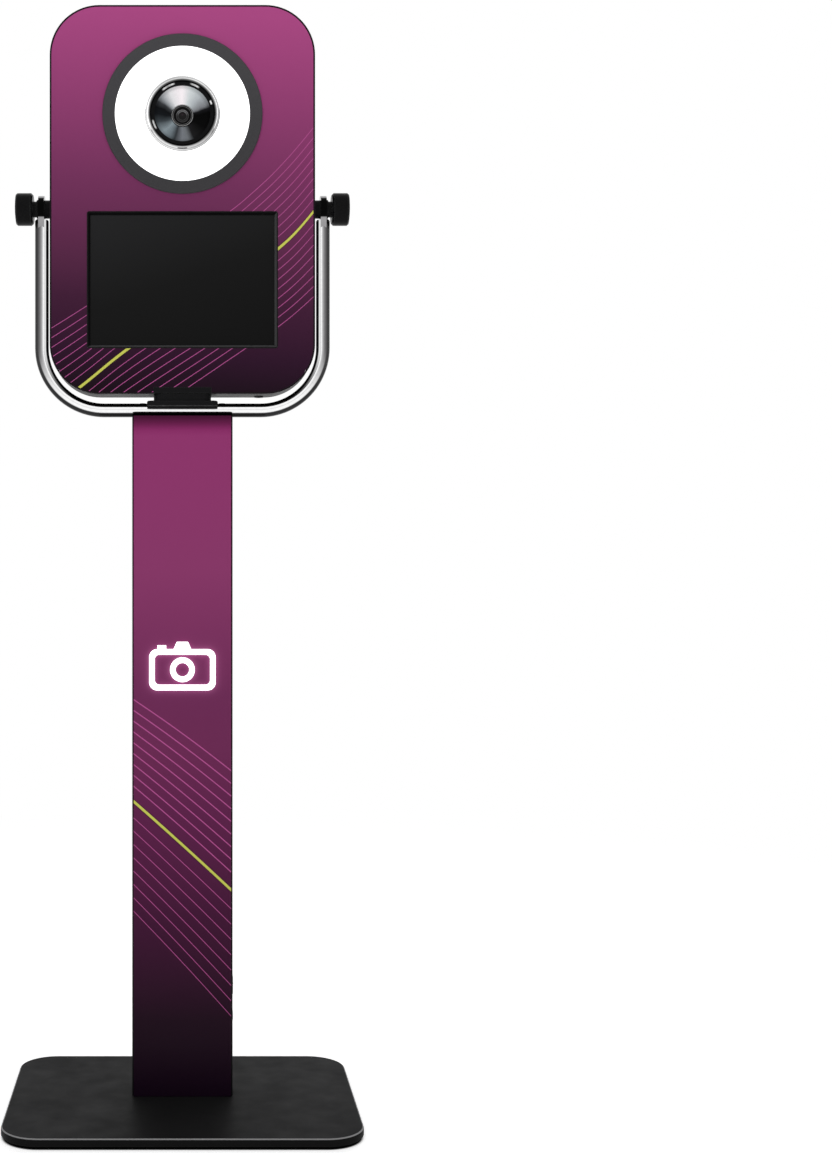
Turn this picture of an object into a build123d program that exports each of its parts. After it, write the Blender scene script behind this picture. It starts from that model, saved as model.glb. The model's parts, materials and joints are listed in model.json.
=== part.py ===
from build123d import *

import os
from math import radians, tan

# A free-standing photo booth: a thin head with a ring light, a camera and a touch screen
# hangs between the arms of a U-shaped yoke, on a flat column that stands on a base plate.
# Millimetres, +Z up, the front faces -Y, the origin is on the floor under the base's centre.

os.makedirs("parts", exist_ok=True)

# ---- base ----
base_width = 436.0
base_depth = 320.0
base_thickness = 10.0
base_corner = 48.0
base_edge = 2.5
foot_radius = 16.0
foot_height = 3.0
foot_inset = 42.0

# ---- column ----
column_width = 127.5
column_body_depth = 39.0
column_height = 863.0
column_wall = 1.5
column_corner = 2.5
column_set_back = 12.0
panel_thickness = 3.0
panel_margin = 2.0
foot_plate_thickness = 8.0
top_plate_thickness = 6.0
weld_gap = 0.1
sign_height = 554.0
sign_width = 84.0
sign_stroke = 7.0
sign_proud = 3.0
window_width = 96.0
window_height = 68.0

# ---- yoke ----
bar_radius = 8.8
arm_gap = 2.95
yoke_bend = 80.0
pivot_rise = 257.3
eye_radius = 17.0
eye_thickness = 7.5
eye_blend = 24.0
bar_top_gap = 13.0
stud_radius = 4.0
stud_clearance = 0.3
thread_clearance = 0.05
yoke_screw_edge = 11.5
screw_head_radius = 5.0
screw_head_height = 3.2

# ---- head ----
head_width = 336.5
head_height = 493.0
head_drop = 238.5
head_depth = 42.0
head_corner = 63.0
head_wall = 2.0
trim_width = 2.0
fit = 0.2

# ---- ring light and lens ----
ring_rise = 116.5
ring_radius = 101.4
diffuser_radius = 85.6
bezel_proud = 3.0
ring_housing_depth = 13.0
lens_radius = 48.0
lens_tube_radius = 44.3
dish_radius = 35.4
barrel_radius = 14.0
lens_glass_radius = 9.0
camera_depth = 14.0
ring_led_count = 40

# ---- screen ----
screen_width = 242.0
screen_height = 173.5
screen_drop = 93.8
screen_corner = 3.0
bezel_band = 4.0
tablet_width = 248.0
tablet_height = 179.0
tablet_thickness = 6.1
tablet_corner = 16.0

# ---- rear face ----
light_bar_width = 235.0
light_bar_height = 23.0
light_bar_rise = 192.8
button_spacing = 220.0
button_rise = 150.3
button_bezel_radius = 10.1
button_body_radius = 8.5
button_travel = 2.0
rear_sign_drop = 24.0
rear_sign_width = 158.0
rear_sign_stroke = 12.0

# ---- tilt guide ----
shoe_width = 74.0
shoe_height = 8.5
guide_gap = 0.4
saddle_width = 73.0
saddle_depth = 40.0
saddle_flange_depth = 46.0
saddle_flange_rise = 1.5

# ---- knobs ----
knob_radius = 20.5
knob_length = 23.3
knob_neck_radius = 10.0
knob_neck_length = 4.5
washer_thickness = 2.5
washer_radius = 12.0
friction_washer_thickness = 1.25
boss_radius = 11.5
spigot_radius = 8.0

# ---- places that follow from those sizes ----
base_top = foot_height + base_thickness
column_top = base_top + column_height
bar_z = column_top + bar_radius
pivot_z = bar_z + pivot_rise
arm_x = head_width / 2 + arm_gap + bar_radius
head_bottom = pivot_z - head_drop
head_z = head_bottom + head_height / 2
head_y = column_set_back
frame_depth = head_depth - 2 * panel_thickness
frame_inner_x = head_width / 2 - head_wall
ring_z = pivot_z + ring_rise
screen_z = pivot_z - screen_drop
shoe_radius = head_drop
eye_inner_x = arm_x - eye_thickness / 2
eye_outer_x = arm_x + eye_thickness / 2
boss_face_x = eye_inner_x - friction_washer_thickness
knob_start_x = eye_outer_x + washer_thickness
panel_height = column_height
panel_center_z = base_top + column_height / 2
column_inner_width = column_width - 2 * column_wall
column_inner_depth = column_body_depth - 2 * column_wall
yoke_screw_spacing = column_inner_width - 2 * yoke_screw_edge
saddle_flange_width = yoke_screw_spacing - 2 * (screw_head_radius + 0.75)
lens_axis = Axis((0, 0, ring_z), (0, 1, 0))
pivot_axis = Axis((0, head_y, pivot_z), (1, 0, 0))


def front_plane(y):
    """A plane that faces the front, at a distance y behind the origin: its axes are X and Z."""
    return Plane.XZ.offset(-y)


def side_plane(x):
    """A plane square to X: its axes are Y and Z."""
    return Plane.YZ.offset(x)


def finish(piece, name):
    """Labels a finished piece and writes its file."""
    piece.part.label = name
    export_step(piece.part, f"parts/{name}.step")


def cord_bends(route):
    """The largest tangent arc that each corner of a lead's route allows."""
    points = [Vector(*point) for point in route]
    radii = []
    for before, corner, after in zip(points, points[1:], points[2:]):
        run_in = corner - before
        run_out = after - corner
        half_turn = radians(run_in.get_angle(run_out)) / 2
        radii.append(0.45 * min(run_in.length, run_out.length) / tan(half_turn))
    return radii


def camera_icon(width, stroke):
    """A plain camera pictogram in the current sketch: body outline, hump, shutter and lens ring."""
    height = width * 0.62
    hump_width = width * 0.34
    hump_height = width * 0.11
    shutter_width = width * 0.13
    lens_outer = height * 0.3
    RectangleRounded(width, height, width * 0.12)
    with Locations((0, height / 2 + hump_height / 2 - stroke / 2)):
        Trapezoid(hump_width, hump_height + stroke, 66)
    with Locations((-width * 0.31, height / 2 + stroke * 0.25)):
        Rectangle(shutter_width, stroke * 0.9)
    RectangleRounded(width - 2 * stroke, height - 2 * stroke, width * 0.12 - stroke * 0.6, mode=Mode.SUBTRACT)
    Circle(lens_outer)
    Circle(lens_outer - stroke, mode=Mode.SUBTRACT)


def lens_profile(points):
    """The closed outline of a part that is turned about the lens axis, as (radius, y) points."""
    with BuildSketch(Plane.XY.offset(ring_z)) as profile:
        with BuildLine():
            Polyline(*points, close=True)
        make_face()
    return profile.sketch


# ======================== base ========================
foot_x = base_width / 2 - foot_inset
foot_y = base_depth / 2 - foot_inset
bolt_x = column_inner_width / 2 - 18.25
bolt_spots = [(x, head_y + y) for x in (-bolt_x, bolt_x) for y in (-9.0, 9.0)]
bolt_radius = 4.0
bolt_head_radius = 8.0

with BuildPart() as base_plate:
    with BuildSketch(Plane.XY.offset(foot_height)):
        RectangleRounded(base_width, base_depth, base_corner)
    extrude(amount=base_thickness)
    fillet(base_plate.faces().sort_by(Axis.Z)[-1].edges(), base_edge)
    chamfer(base_plate.faces().sort_by(Axis.Z)[0].edges(), 1.0)
    with Locations(*[Location((x, y, foot_height), (180, 0, 0)) for x, y in bolt_spots]):
        CounterSinkHole(bolt_radius + fit, bolt_head_radius + fit, depth=base_thickness)
finish(base_plate, "base_plate")

with BuildPart() as base_feet:
    with BuildSketch():
        with GridLocations(2 * foot_x, 2 * foot_y, 2, 2):
            Circle(foot_radius)
    extrude(amount=foot_height)
    chamfer(base_feet.faces().filter_by(Axis.Z).group_by(Axis.Z)[0].edges(), 0.8)
finish(base_feet, "base_feet")

with BuildPart() as base_bolts:
    for x, y in bolt_spots:
        with BuildSketch(Plane.XY.offset(foot_height)):
            with Locations((x, y)):
                Circle(bolt_radius)
        extrude(amount=base_thickness + foot_plate_thickness - 1)
        with Locations((x, y, foot_height + 2)):
            Cone(bolt_head_radius - fit, bolt_radius, 4)
finish(base_bolts, "base_bolts")

# ======================== column ========================
inlet_z = base_top + 97.0
switch_z = base_top + 137.0
switch_cutout_y = 13.0
switch_cutout_z = 19.0
jack_radius = 4.0
jack_flange = 0.8
front_face_y = head_y - column_body_depth / 2
rear_face_y = head_y + column_body_depth / 2

with BuildPart() as column_foot:
    with BuildSketch(Plane.XY.offset(base_top)):
        with Locations((0, head_y)):
            Rectangle(column_inner_width - 2 * weld_gap, column_inner_depth - 2 * weld_gap)
    extrude(amount=foot_plate_thickness)
    with Locations(*[(x, y, base_top + foot_plate_thickness) for x, y in bolt_spots]):
        Hole(bolt_radius + thread_clearance, depth=foot_plate_thickness)
finish(column_foot, "column_foot")

with BuildPart() as column_shell:
    with BuildSketch(Plane.XY.offset(base_top)):
        with Locations((0, head_y)):
            RectangleRounded(column_width, column_body_depth, column_corner)
            Rectangle(column_inner_width, column_inner_depth, mode=Mode.SUBTRACT)
    extrude(amount=column_height)
    # One window behind each lit sign.
    with Locations((0, head_y, sign_height)):
        Box(window_width, column_body_depth + 2, window_height, mode=Mode.SUBTRACT)
    # Cut-outs for the switch and the inlet, low on the right side.
    with Locations((column_width / 2, head_y, switch_z)):
        Box(4 * column_wall, switch_cutout_y, switch_cutout_z, mode=Mode.SUBTRACT)
    with Locations(Location((column_width / 2, head_y, inlet_z), (0, 90, 0))):
        Cylinder(jack_radius + fit, 4 * column_wall, mode=Mode.SUBTRACT)
finish(column_shell, "column_shell")

with BuildPart() as column_top_plate:
    with BuildSketch(Plane.XY.offset(column_top)):
        with Locations((0, head_y)):
            Rectangle(column_inner_width - 2 * weld_gap, column_inner_depth - 2 * weld_gap)
    extrude(amount=-top_plate_thickness)
    with Locations((0, head_y, column_top)):
        Hole(stud_radius + stud_clearance, depth=top_plate_thickness)
        with GridLocations(yoke_screw_spacing, 0, 2, 1):
            Hole(3.0 + thread_clearance, depth=top_plate_thickness)
finish(column_top_plate, "column_top_plate")

for name, face_y, outward in (
    ("column_front_panel", front_face_y, 1),
    ("column_rear_panel", rear_face_y, -1),
):
    with BuildPart() as column_panel:
        with BuildSketch(front_plane(face_y)):
            with Locations((0, panel_center_z)):
                RectangleRounded(column_width - 2 * panel_margin, panel_height, 1.0)
        extrude(amount=outward * panel_thickness)
        chamfer(column_panel.faces().sort_by(Axis.Y)[0 if outward > 0 else -1].edges(), 0.5)
    finish(column_panel, name)

for name, face_y, outward in (
    ("column_front_sign", front_face_y - panel_thickness, 1),
    ("column_rear_sign", rear_face_y + panel_thickness, -1),
):
    with BuildPart() as column_sign:
        with BuildSketch(front_plane(face_y)):
            with Locations((0, sign_height)):
                camera_icon(sign_width, sign_stroke)
        extrude(amount=outward * sign_proud)
    finish(column_sign, name)

board_width = column_inner_width - 20.0
board_height = 76.0
board_thickness = 1.6
board_stand = 7.0
led_size = 4.0
led_height = 1.2
connector_x = 10.0
connector_depth = 6.0
connector_bottom = sign_height - 34.0
connector_y = column_inner_depth / 2 - board_stand - board_thickness - connector_depth / 2

with BuildPart() as column_sign_boards:
    for side in (-1, 1):
        inner_face = head_y + side * column_inner_depth / 2
        board_face = inner_face - side * board_stand
        with Locations((0, board_face - side * board_thickness / 2, sign_height)):
            Box(board_width, board_thickness, board_height)
        with Locations((0, board_face + side * led_height / 2, sign_height)):
            with Locations(*[(12.0 * i, 0, 12.0 * k) for i in range(-3, 4) for k in (-2, -1, 0, 1, 2)]):
                Box(led_size, led_height, led_size)
        # A connector for the lead, on the back of the board.
        connector_face = board_face - side * board_thickness
        with Locations((connector_x, connector_face - side * connector_depth / 2, connector_bottom + 5)):
            Box(9.0, connector_depth, 10.0)
        # Four spacers carry each board on the wall of the column.
        with Locations(*[((board_width / 2 - 2.5) * i, inner_face - side * board_stand / 2, sign_height + 35.5 * k)
                         for i in (-1, 1) for k in (-1, 1)]):
            Box(4.0, board_stand, 4.0)
finish(column_sign_boards, "column_sign_boards")

battery_width = column_inner_width - 38.5
battery_depth = 30.0
battery_height = 190.0
battery_x = (battery_width - column_inner_width) / 2 + 2.25
battery_top = base_top + foot_plate_thickness + battery_height

with BuildPart() as column_battery:
    with Locations((battery_x, head_y, battery_top - battery_height / 2)):
        Box(battery_width, battery_depth, battery_height)
    fillet(column_battery.edges().filter_by(Axis.Z), 4.0)
finish(column_battery, "column_battery")

lead_radius = 2.0
lead_rise = connector_bottom - battery_top
# How far the lead drifts sideways at each share of its rise.
lead_drift = [(0.0, 0.0), (0.0, 0.16), (5.0, 0.32), (13.0, 0.48), (18.0, 0.65), (20.0, 0.84), (20.0, 1.0)]

with BuildPart() as column_wiring:
    for side in (-1, 1):
        lead_y = head_y + side * connector_y
        lead_x = connector_x - lead_drift[-1][0]
        route = [(lead_x + drift, lead_y, battery_top + share * lead_rise) for drift, share in lead_drift]
        with BuildLine() as lead_path:
            FilletPolyline(*route, radius=cord_bends(route))
        with BuildSketch(Plane(origin=lead_path.line @ 0, z_dir=lead_path.line % 0)):
            Circle(lead_radius)
        sweep(path=lead_path.line)
finish(column_wiring, "column_wiring")

# The inlet is a round low-voltage jack with a centre pin, held by a nut inside the wall.
with BuildPart() as column_inlet:
    with BuildSketch(side_plane(column_width / 2)):
        with Locations((head_y, inlet_z)):
            Circle(5.8)
    extrude(amount=jack_flange)
    with BuildSketch(side_plane(column_width / 2)):
        with Locations((head_y, inlet_z)):
            Circle(jack_radius)
    extrude(amount=-14.0)
    with BuildSketch(side_plane(column_width / 2 + jack_flange)):
        with Locations((head_y, inlet_z)):
            Circle(2.8)
    extrude(amount=-11.0, mode=Mode.SUBTRACT)
    with BuildSketch(side_plane(column_width / 2 + jack_flange - 0.6)):
        with Locations((head_y, inlet_z)):
            Circle(1.0)
    extrude(amount=-12.0)
    with BuildSketch(side_plane(column_width / 2 - column_wall)):
        with Locations((head_y, inlet_z)):
            RegularPolygon(6.0, 6)
            Circle(jack_radius + thread_clearance, mode=Mode.SUBTRACT)
    extrude(amount=-2.5)
finish(column_inlet, "column_inlet")

rocker_radius = 8.5
rocker_pivot_x = column_width / 2 - 7.0
rocker_width = 9.0
rocker_angle = 9.0
bezel_thickness = 0.8
switch_depth = 18.0

with BuildPart() as column_switch_body:
    with Locations((column_width / 2 + bezel_thickness / 2, head_y, switch_z)):
        Box(bezel_thickness, 15.0, 21.0)
    with Locations((column_width / 2 - switch_depth / 2, head_y, switch_z)):
        Box(switch_depth, switch_cutout_y - 2 * fit, switch_cutout_z - 2 * fit)
    with BuildSketch(Plane.XZ.offset(-head_y)):
        with Locations((rocker_pivot_x, switch_z)):
            Circle(rocker_radius + 0.4)
    extrude(amount=rocker_width / 2 + fit, both=True, mode=Mode.SUBTRACT)
    with Locations((column_width / 2, head_y, switch_z)):
        Box(6.0, rocker_width + 2 * fit, 14.6, mode=Mode.SUBTRACT)
finish(column_switch_body, "column_switch_body")

# The rocker is a disc about its own pivot, with two flats that meet at its middle.
with BuildPart() as column_switch_rocker:
    with BuildSketch(Plane.XZ.offset(-head_y)):
        with Locations((rocker_pivot_x, switch_z)):
            Circle(rocker_radius)
    extrude(amount=rocker_width / 2, both=True)
    for side in (-1, 1):
        turn = rocker_angle * side + rocker_angle
        with Locations(Location((rocker_pivot_x, head_y, switch_z), (0, turn, 0))):
            with Locations((rocker_radius + 7.2, 0, side * 10.0)):
                Box(2 * rocker_radius, 2 * rocker_width, 20.0, mode=Mode.SUBTRACT)
finish(column_switch_rocker, "column_switch_rocker")

# ======================== yoke ========================
spotface_z = bar_z + bar_radius - screw_head_height

with BuildPart() as yoke_bar:
    arm_top = pivot_z - bar_top_gap
    with BuildLine(Plane.XZ.offset(-head_y)) as yoke_path:
        FilletPolyline((-arm_x, arm_top), (-arm_x, bar_z), (arm_x, bar_z), (arm_x, arm_top), radius=yoke_bend)
    with BuildSketch(Plane((-arm_x, head_y, arm_top), z_dir=(0, 0, -1))):
        Circle(bar_radius)
    sweep(path=yoke_path.line)
    fillet(yoke_bar.faces().sort_by(Axis.Z)[-2:].edges(), 3.0)
    # Each arm ends in a forged eye, as flat as a plate, that blends into the bar.
    for side in (-1, 1):
        with BuildSketch(side_plane(side * arm_x)) as eye:
            with Locations((head_y, pivot_z)):
                Circle(eye_radius)
            with Locations((head_y, pivot_z - eye_blend)):
                Circle(bar_radius - 1)
            make_hull()
        extrude(amount=eye_thickness / 2, both=True)
    with Locations(*[Location((side * arm_x, head_y, pivot_z), (0, 90, 0)) for side in (-1, 1)]):
        Cylinder(stud_radius + stud_clearance, 3 * eye_thickness, mode=Mode.SUBTRACT)
    # Holes for the clamp bolt and for the two screws that sit in flat seats.
    with Locations((0, head_y, bar_z + bar_radius)):
        Hole(stud_radius + stud_clearance, depth=2 * bar_radius)
        with GridLocations(yoke_screw_spacing, 0, 2, 1):
            CounterBoreHole(3.0 + fit, screw_head_radius + 0.4, screw_head_height, depth=2 * bar_radius)
finish(yoke_bar, "yoke_bar")

with BuildPart() as yoke_screws:
    for side in (-1, 1):
        with Locations((side * yoke_screw_spacing / 2, head_y, spotface_z + screw_head_height / 2)):
            Cylinder(screw_head_radius, screw_head_height)
        with Locations((side * yoke_screw_spacing / 2, head_y, spotface_z - 11.5)):
            Cylinder(3.0, 23.0)
    fillet(yoke_screws.faces().group_by(Axis.Z)[-1].edges(), 1.4)
    with BuildSketch(Plane.XY.offset(spotface_z + screw_head_height)):
        with Locations((0, head_y)):
            with GridLocations(yoke_screw_spacing, 0, 2, 1):
                RegularPolygon(2.3, 6)
    extrude(amount=-2.0, mode=Mode.SUBTRACT)
finish(yoke_screws, "yoke_screws")

# The saddle sits on the bar; its hollow top follows the swing of the shoe under the head.
flange_top = bar_z + bar_radius + saddle_flange_rise
with BuildPart() as tilt_saddle:
    with BuildSketch(Plane.XY.offset(bar_z + 4.0)):
        with Locations((0, head_y)):
            RectangleRounded(saddle_flange_width, saddle_flange_depth, 8.0)
    extrude(amount=flange_top - bar_z - 4.0)
    chamfer(tilt_saddle.faces().sort_by(Axis.Z)[-1].edges(), 1.0)
    with BuildSketch(Plane.XY.offset(flange_top)):
        with Locations((0, head_y)):
            RectangleRounded(saddle_width, saddle_depth, 12.0)
    extrude(amount=head_bottom - flange_top + guide_gap)
    with Locations(Location((0, head_y, pivot_z), (0, 90, 0))):
        Cylinder(shoe_radius + guide_gap, 2 * saddle_flange_width, mode=Mode.SUBTRACT)
    with Locations(Location((0, head_y, bar_z), (0, 90, 0))):
        Cylinder(bar_radius + 0.1, 2 * saddle_flange_width, mode=Mode.SUBTRACT)
    with BuildSketch(Plane.XY.offset(bar_z)):
        with Locations((0, head_y)):
            Circle(stud_radius + thread_clearance)
    extrude(amount=bar_radius + 4.0, mode=Mode.SUBTRACT)
finish(tilt_saddle, "tilt_saddle")

with BuildPart() as saddle_bolt:
    with BuildSketch(Plane.XY.offset(column_top - top_plate_thickness)):
        with Locations((0, head_y)):
            Circle(stud_radius)
    extrude(amount=flange_top - column_top + top_plate_thickness)
    with BuildSketch(Plane.XY.offset(column_top - top_plate_thickness)):
        with Locations((0, head_y)):
            RegularPolygon(7.5, 6)
    extrude(amount=-5.3)
finish(saddle_bolt, "saddle_bolt")

with BuildPart() as friction_washers:
    for side in (-1, 1):
        with BuildSketch(side_plane(side * eye_inner_x)):
            with Locations((head_y, pivot_z)):
                Circle(boss_radius)
                Circle(stud_radius + stud_clearance, mode=Mode.SUBTRACT)
        extrude(amount=-side * friction_washer_thickness)
finish(friction_washers, "friction_washers")

# ======================== head case ========================
case_front = head_y - frame_depth / 2
case_rear = head_y + frame_depth / 2
face_front = head_y - head_depth / 2
face_rear = head_y + head_depth / 2
block_size = 12.0
case_screw_radius = 2.0
shoe_screw_x = shoe_width / 2 + 7.0
shoe_screw_y = frame_depth / 2 - block_size / 2
shoe_plate_width = 2 * shoe_screw_x + block_size
# The band is flat as far as its corners: the jack and the screws of the two ends stay within.
jack_x = head_width / 2 - head_corner - 7.0
jack_y = head_y + 10.0
end_screw_x = jack_x - 14.0
side_screw_rise = head_height / 2 - head_corner - 32.0

# Every screw through the case band: its place on the band's outer face and its inward direction.
case_screw_spots = []
for y in (case_front + block_size / 2, case_rear - block_size / 2):
    for side in (-1, 1):
        for rise in (-side_screw_rise, side_screw_rise):
            case_screw_spots.append(((side * head_width / 2, y, head_z + rise), (-side, 0, 0)))
        case_screw_spots.append(((side * end_screw_x, y, head_bottom + head_height), (0, 0, -1)))
        case_screw_spots.append(((side * end_screw_x, y, head_bottom), (0, 0, 1)))
block_spots = list(case_screw_spots)
for side in (-1, 1):
    for y in (head_y - shoe_screw_y, head_y + shoe_screw_y):
        case_screw_spots.append(((side * shoe_screw_x, y, head_bottom), (0, 0, 1)))


def notch(depth):
    """Cuts the shoe's notch through the bottom edge of a head panel or band."""
    with Locations((0, head_y, head_bottom + shoe_height / 2 - 1)):
        Box(shoe_width, depth, shoe_height + 2, mode=Mode.SUBTRACT)


with BuildPart() as head_frame:
    with BuildSketch(front_plane(case_front)):
        with Locations((0, head_z)):
            RectangleRounded(head_width, head_height, head_corner)
            RectangleRounded(head_width - 2 * head_wall, head_height - 2 * head_wall,
                             head_corner - head_wall, mode=Mode.SUBTRACT)
    extrude(amount=-frame_depth)
    notch(head_depth)
    for spot, inward in case_screw_spots:
        with Locations(Plane(spot, z_dir=-Vector(*inward)).location):
            CounterSinkHole(case_screw_radius + fit, 2 * case_screw_radius + fit, depth=head_wall)
    with Locations(Location((0, head_y, pivot_z), (0, 90, 0))):
        Cylinder(spigot_radius + 0.1, head_width + 2, mode=Mode.SUBTRACT)
    with Locations((jack_x, jack_y, head_bottom)):
        Cylinder(jack_radius + fit, 4 * head_wall, mode=Mode.SUBTRACT)
finish(head_frame, "head_frame")

with BuildPart() as panel_blocks:
    for spot, inward in block_spots:
        inward_vector = Vector(*inward)
        centre = Vector(*spot) + inward_vector * (head_wall + block_size / 2)
        screw_hole = Plane(Vector(*spot) + inward_vector * head_wall, z_dir=-inward_vector)
        with Locations(centre):
            Box(block_size, block_size, block_size)
        with Locations(screw_hole.location):
            Hole(case_screw_radius + thread_clearance, depth=block_size - 2)
finish(panel_blocks, "panel_blocks")

with BuildPart() as case_screws:
    for spot, inward in case_screw_spots:
        shaft = 3.4 if abs(spot[0]) == shoe_screw_x else 9.0
        start = Vector(*spot) + Vector(*inward) * 0.1
        with BuildSketch(Plane(start, z_dir=inward)):
            Circle(2 * case_screw_radius - fit)
        extrude(amount=case_screw_radius, taper=45)
        with BuildSketch(Plane(start, z_dir=inward)):
            Circle(case_screw_radius)
        extrude(amount=shaft)
finish(case_screws, "case_screws")

trim_inner_w = head_width - 2 * trim_width
trim_inner_h = head_height - 2 * trim_width
trim_inner_r = head_corner - trim_width

# A dark edge strip round the front fascia and another round the rear cover.
with BuildPart() as edge_trims:
    for start_y, outward in ((case_front, 1), (case_rear, -1)):
        with BuildSketch(front_plane(start_y)):
            with Locations((0, head_z)):
                RectangleRounded(head_width, head_height, head_corner)
                RectangleRounded(trim_inner_w, trim_inner_h, trim_inner_r, mode=Mode.SUBTRACT)
        extrude(amount=outward * panel_thickness)
    notch(2 * head_depth)
finish(edge_trims, "edge_trims")

opening_fit = 0.2
with BuildPart() as front_fascia:
    with BuildSketch(front_plane(case_front)):
        with Locations((0, head_z)):
            RectangleRounded(trim_inner_w - 2 * fit, trim_inner_h - 2 * fit, trim_inner_r - fit)
        with Locations((0, ring_z)):
            Circle(ring_radius - 8 + opening_fit, mode=Mode.SUBTRACT)
        with Locations((0, screen_z)):
            RectangleRounded(screen_width + 2 * opening_fit, screen_height + 2 * opening_fit,
                             screen_corner + opening_fit, mode=Mode.SUBTRACT)
    extrude(amount=panel_thickness)
    notch(2 * head_depth)
finish(front_fascia, "front_fascia")

button_spots = [(side * button_spacing / 2, pivot_z + button_rise) for side in (-1, 1)]
light_bar_z = pivot_z + light_bar_rise

with BuildPart() as rear_cover:
    with BuildSketch(front_plane(case_rear)):
        with Locations((0, head_z)):
            RectangleRounded(trim_inner_w - 2 * fit, trim_inner_h - 2 * fit, trim_inner_r - fit)
        with Locations((0, light_bar_z)):
            SlotOverall(light_bar_width, light_bar_height, mode=Mode.SUBTRACT)
        with Locations(*button_spots):
            Circle(button_body_radius + 0.1, mode=Mode.SUBTRACT)
    extrude(amount=-panel_thickness)
    notch(2 * head_depth)
finish(rear_cover, "rear_cover")

# ======================== ring light ========================
spigot = ring_radius - 8
bezel_front = face_front - bezel_proud
diffuser_front = bezel_front + 1.0
diffuser_back = diffuser_front + 3.0
bezel_back = case_front + 2.0
housing_back = bezel_back + ring_housing_depth

with BuildPart() as ring_bezel:
    revolve(lens_profile([
        (diffuser_radius, bezel_front),
        (ring_radius - 1.2, bezel_front),
        (ring_radius, bezel_front + 1.2),
        (ring_radius, face_front),
        (spigot, face_front),
        (spigot, bezel_back),
        (diffuser_radius - 3, bezel_back),
        (diffuser_radius - 3, diffuser_back),
        (diffuser_radius, diffuser_back),
    ]), axis=lens_axis)
finish(ring_bezel, "ring_bezel")

with BuildPart() as ring_diffuser:
    revolve(lens_profile([
        (lens_tube_radius + fit, diffuser_front),
        (diffuser_radius - fit, diffuser_front),
        (diffuser_radius - fit, diffuser_back),
        (lens_tube_radius + fit, diffuser_back),
    ]), axis=lens_axis)
finish(ring_diffuser, "ring_diffuser")

housing_wall = 2.0
with BuildPart() as ring_housing:
    revolve(lens_profile([
        (lens_tube_radius + fit, diffuser_back),
        (lens_tube_radius + fit + housing_wall, diffuser_back),
        (lens_tube_radius + fit + housing_wall, housing_back - housing_wall),
        (spigot - 4, housing_back - housing_wall),
        (spigot - 4, bezel_back),
        (spigot - 2, bezel_back),
        (spigot - 2, housing_back),
        (lens_tube_radius + fit, housing_back),
    ]), axis=lens_axis)
finish(ring_housing, "ring_housing")

led_board_front = housing_back - housing_wall - board_thickness
with BuildPart() as ring_led_board:
    revolve(lens_profile([
        (lens_tube_radius + 4, led_board_front),
        (spigot - 6, led_board_front),
        (spigot - 6, led_board_front + board_thickness),
        (lens_tube_radius + 4, led_board_front + board_thickness),
    ]), axis=lens_axis)
    with Locations(Plane((0, led_board_front, ring_z), x_dir=(1, 0, 0), z_dir=(0, -1, 0)).location):
        with PolarLocations(66.0, ring_led_count):
            Box(led_size, led_size, led_height, align=(Align.CENTER, Align.CENTER, Align.MIN))
finish(ring_led_board, "ring_led_board")

# ======================== lens and camera ========================
lens_front = diffuser_front - 3.5
dish_front = diffuser_front + 0.8
dish_back = dish_front + 9.0

with BuildPart() as lens_trim_ring:
    revolve(lens_profile([
        (lens_tube_radius - 3.2, lens_front + 0.8),
        (lens_tube_radius - 2.2, lens_front),
        (lens_tube_radius, lens_front),
        (lens_tube_radius + 1.0, lens_front + 1.2),
        (lens_radius - 1.0, lens_front + 1.2),
        (lens_radius, lens_front + 2.2),
        (lens_radius, diffuser_front),
        (lens_tube_radius, diffuser_front),
        (lens_tube_radius, housing_back - 4),
        (lens_tube_radius - 1.5, housing_back - 4),
        (lens_tube_radius - 1.5, dish_front + 3.4),
        (lens_tube_radius - 3.2, dish_front + 3.4),
    ]), axis=lens_axis)
finish(lens_trim_ring, "lens_trim_ring")

inner_ring_radius = lens_tube_radius - 3.2 - 0.1
with BuildPart() as lens_inner_ring:
    revolve(lens_profile([
        (dish_radius, dish_front - 1.6),
        (inner_ring_radius - 1.4, dish_front - 2.4),
        (inner_ring_radius, dish_front - 1.6),
        (inner_ring_radius, dish_front + 1.2),
        (dish_radius + 1.2, dish_front + 1.2),
        (dish_radius, dish_front),
    ]), axis=lens_axis)
finish(lens_inner_ring, "lens_inner_ring")

dish_wall = 1.2
with BuildPart() as lens_dish:
    revolve(lens_profile([
        (barrel_radius + fit, dish_back),
        (dish_radius + 0.2, dish_front + dish_wall),
        (inner_ring_radius, dish_front + dish_wall),
        (inner_ring_radius, dish_front + 2 * dish_wall),
        (dish_radius, dish_front + 2 * dish_wall),
        (barrel_radius + fit, dish_back + dish_wall),
    ]), axis=lens_axis)
finish(lens_dish, "lens_dish")

barrel_front = dish_back - 1.0
camera_front = housing_back + 2.0
glass_seat = barrel_front + 4.6

with BuildPart() as lens_barrel:
    revolve(lens_profile([
        (lens_glass_radius, barrel_front + 2.0),
        (barrel_radius - 3.4, barrel_front + 0.6),
        (barrel_radius - 2.8, barrel_front),
        (barrel_radius - 0.6, barrel_front),
        (barrel_radius, barrel_front + 0.8),
        (barrel_radius, camera_front),
        (lens_glass_radius - 1.0, camera_front),
        (lens_glass_radius - 1.0, glass_seat),
        (lens_glass_radius, glass_seat),
    ]), axis=lens_axis)
finish(lens_barrel, "lens_barrel")

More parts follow.
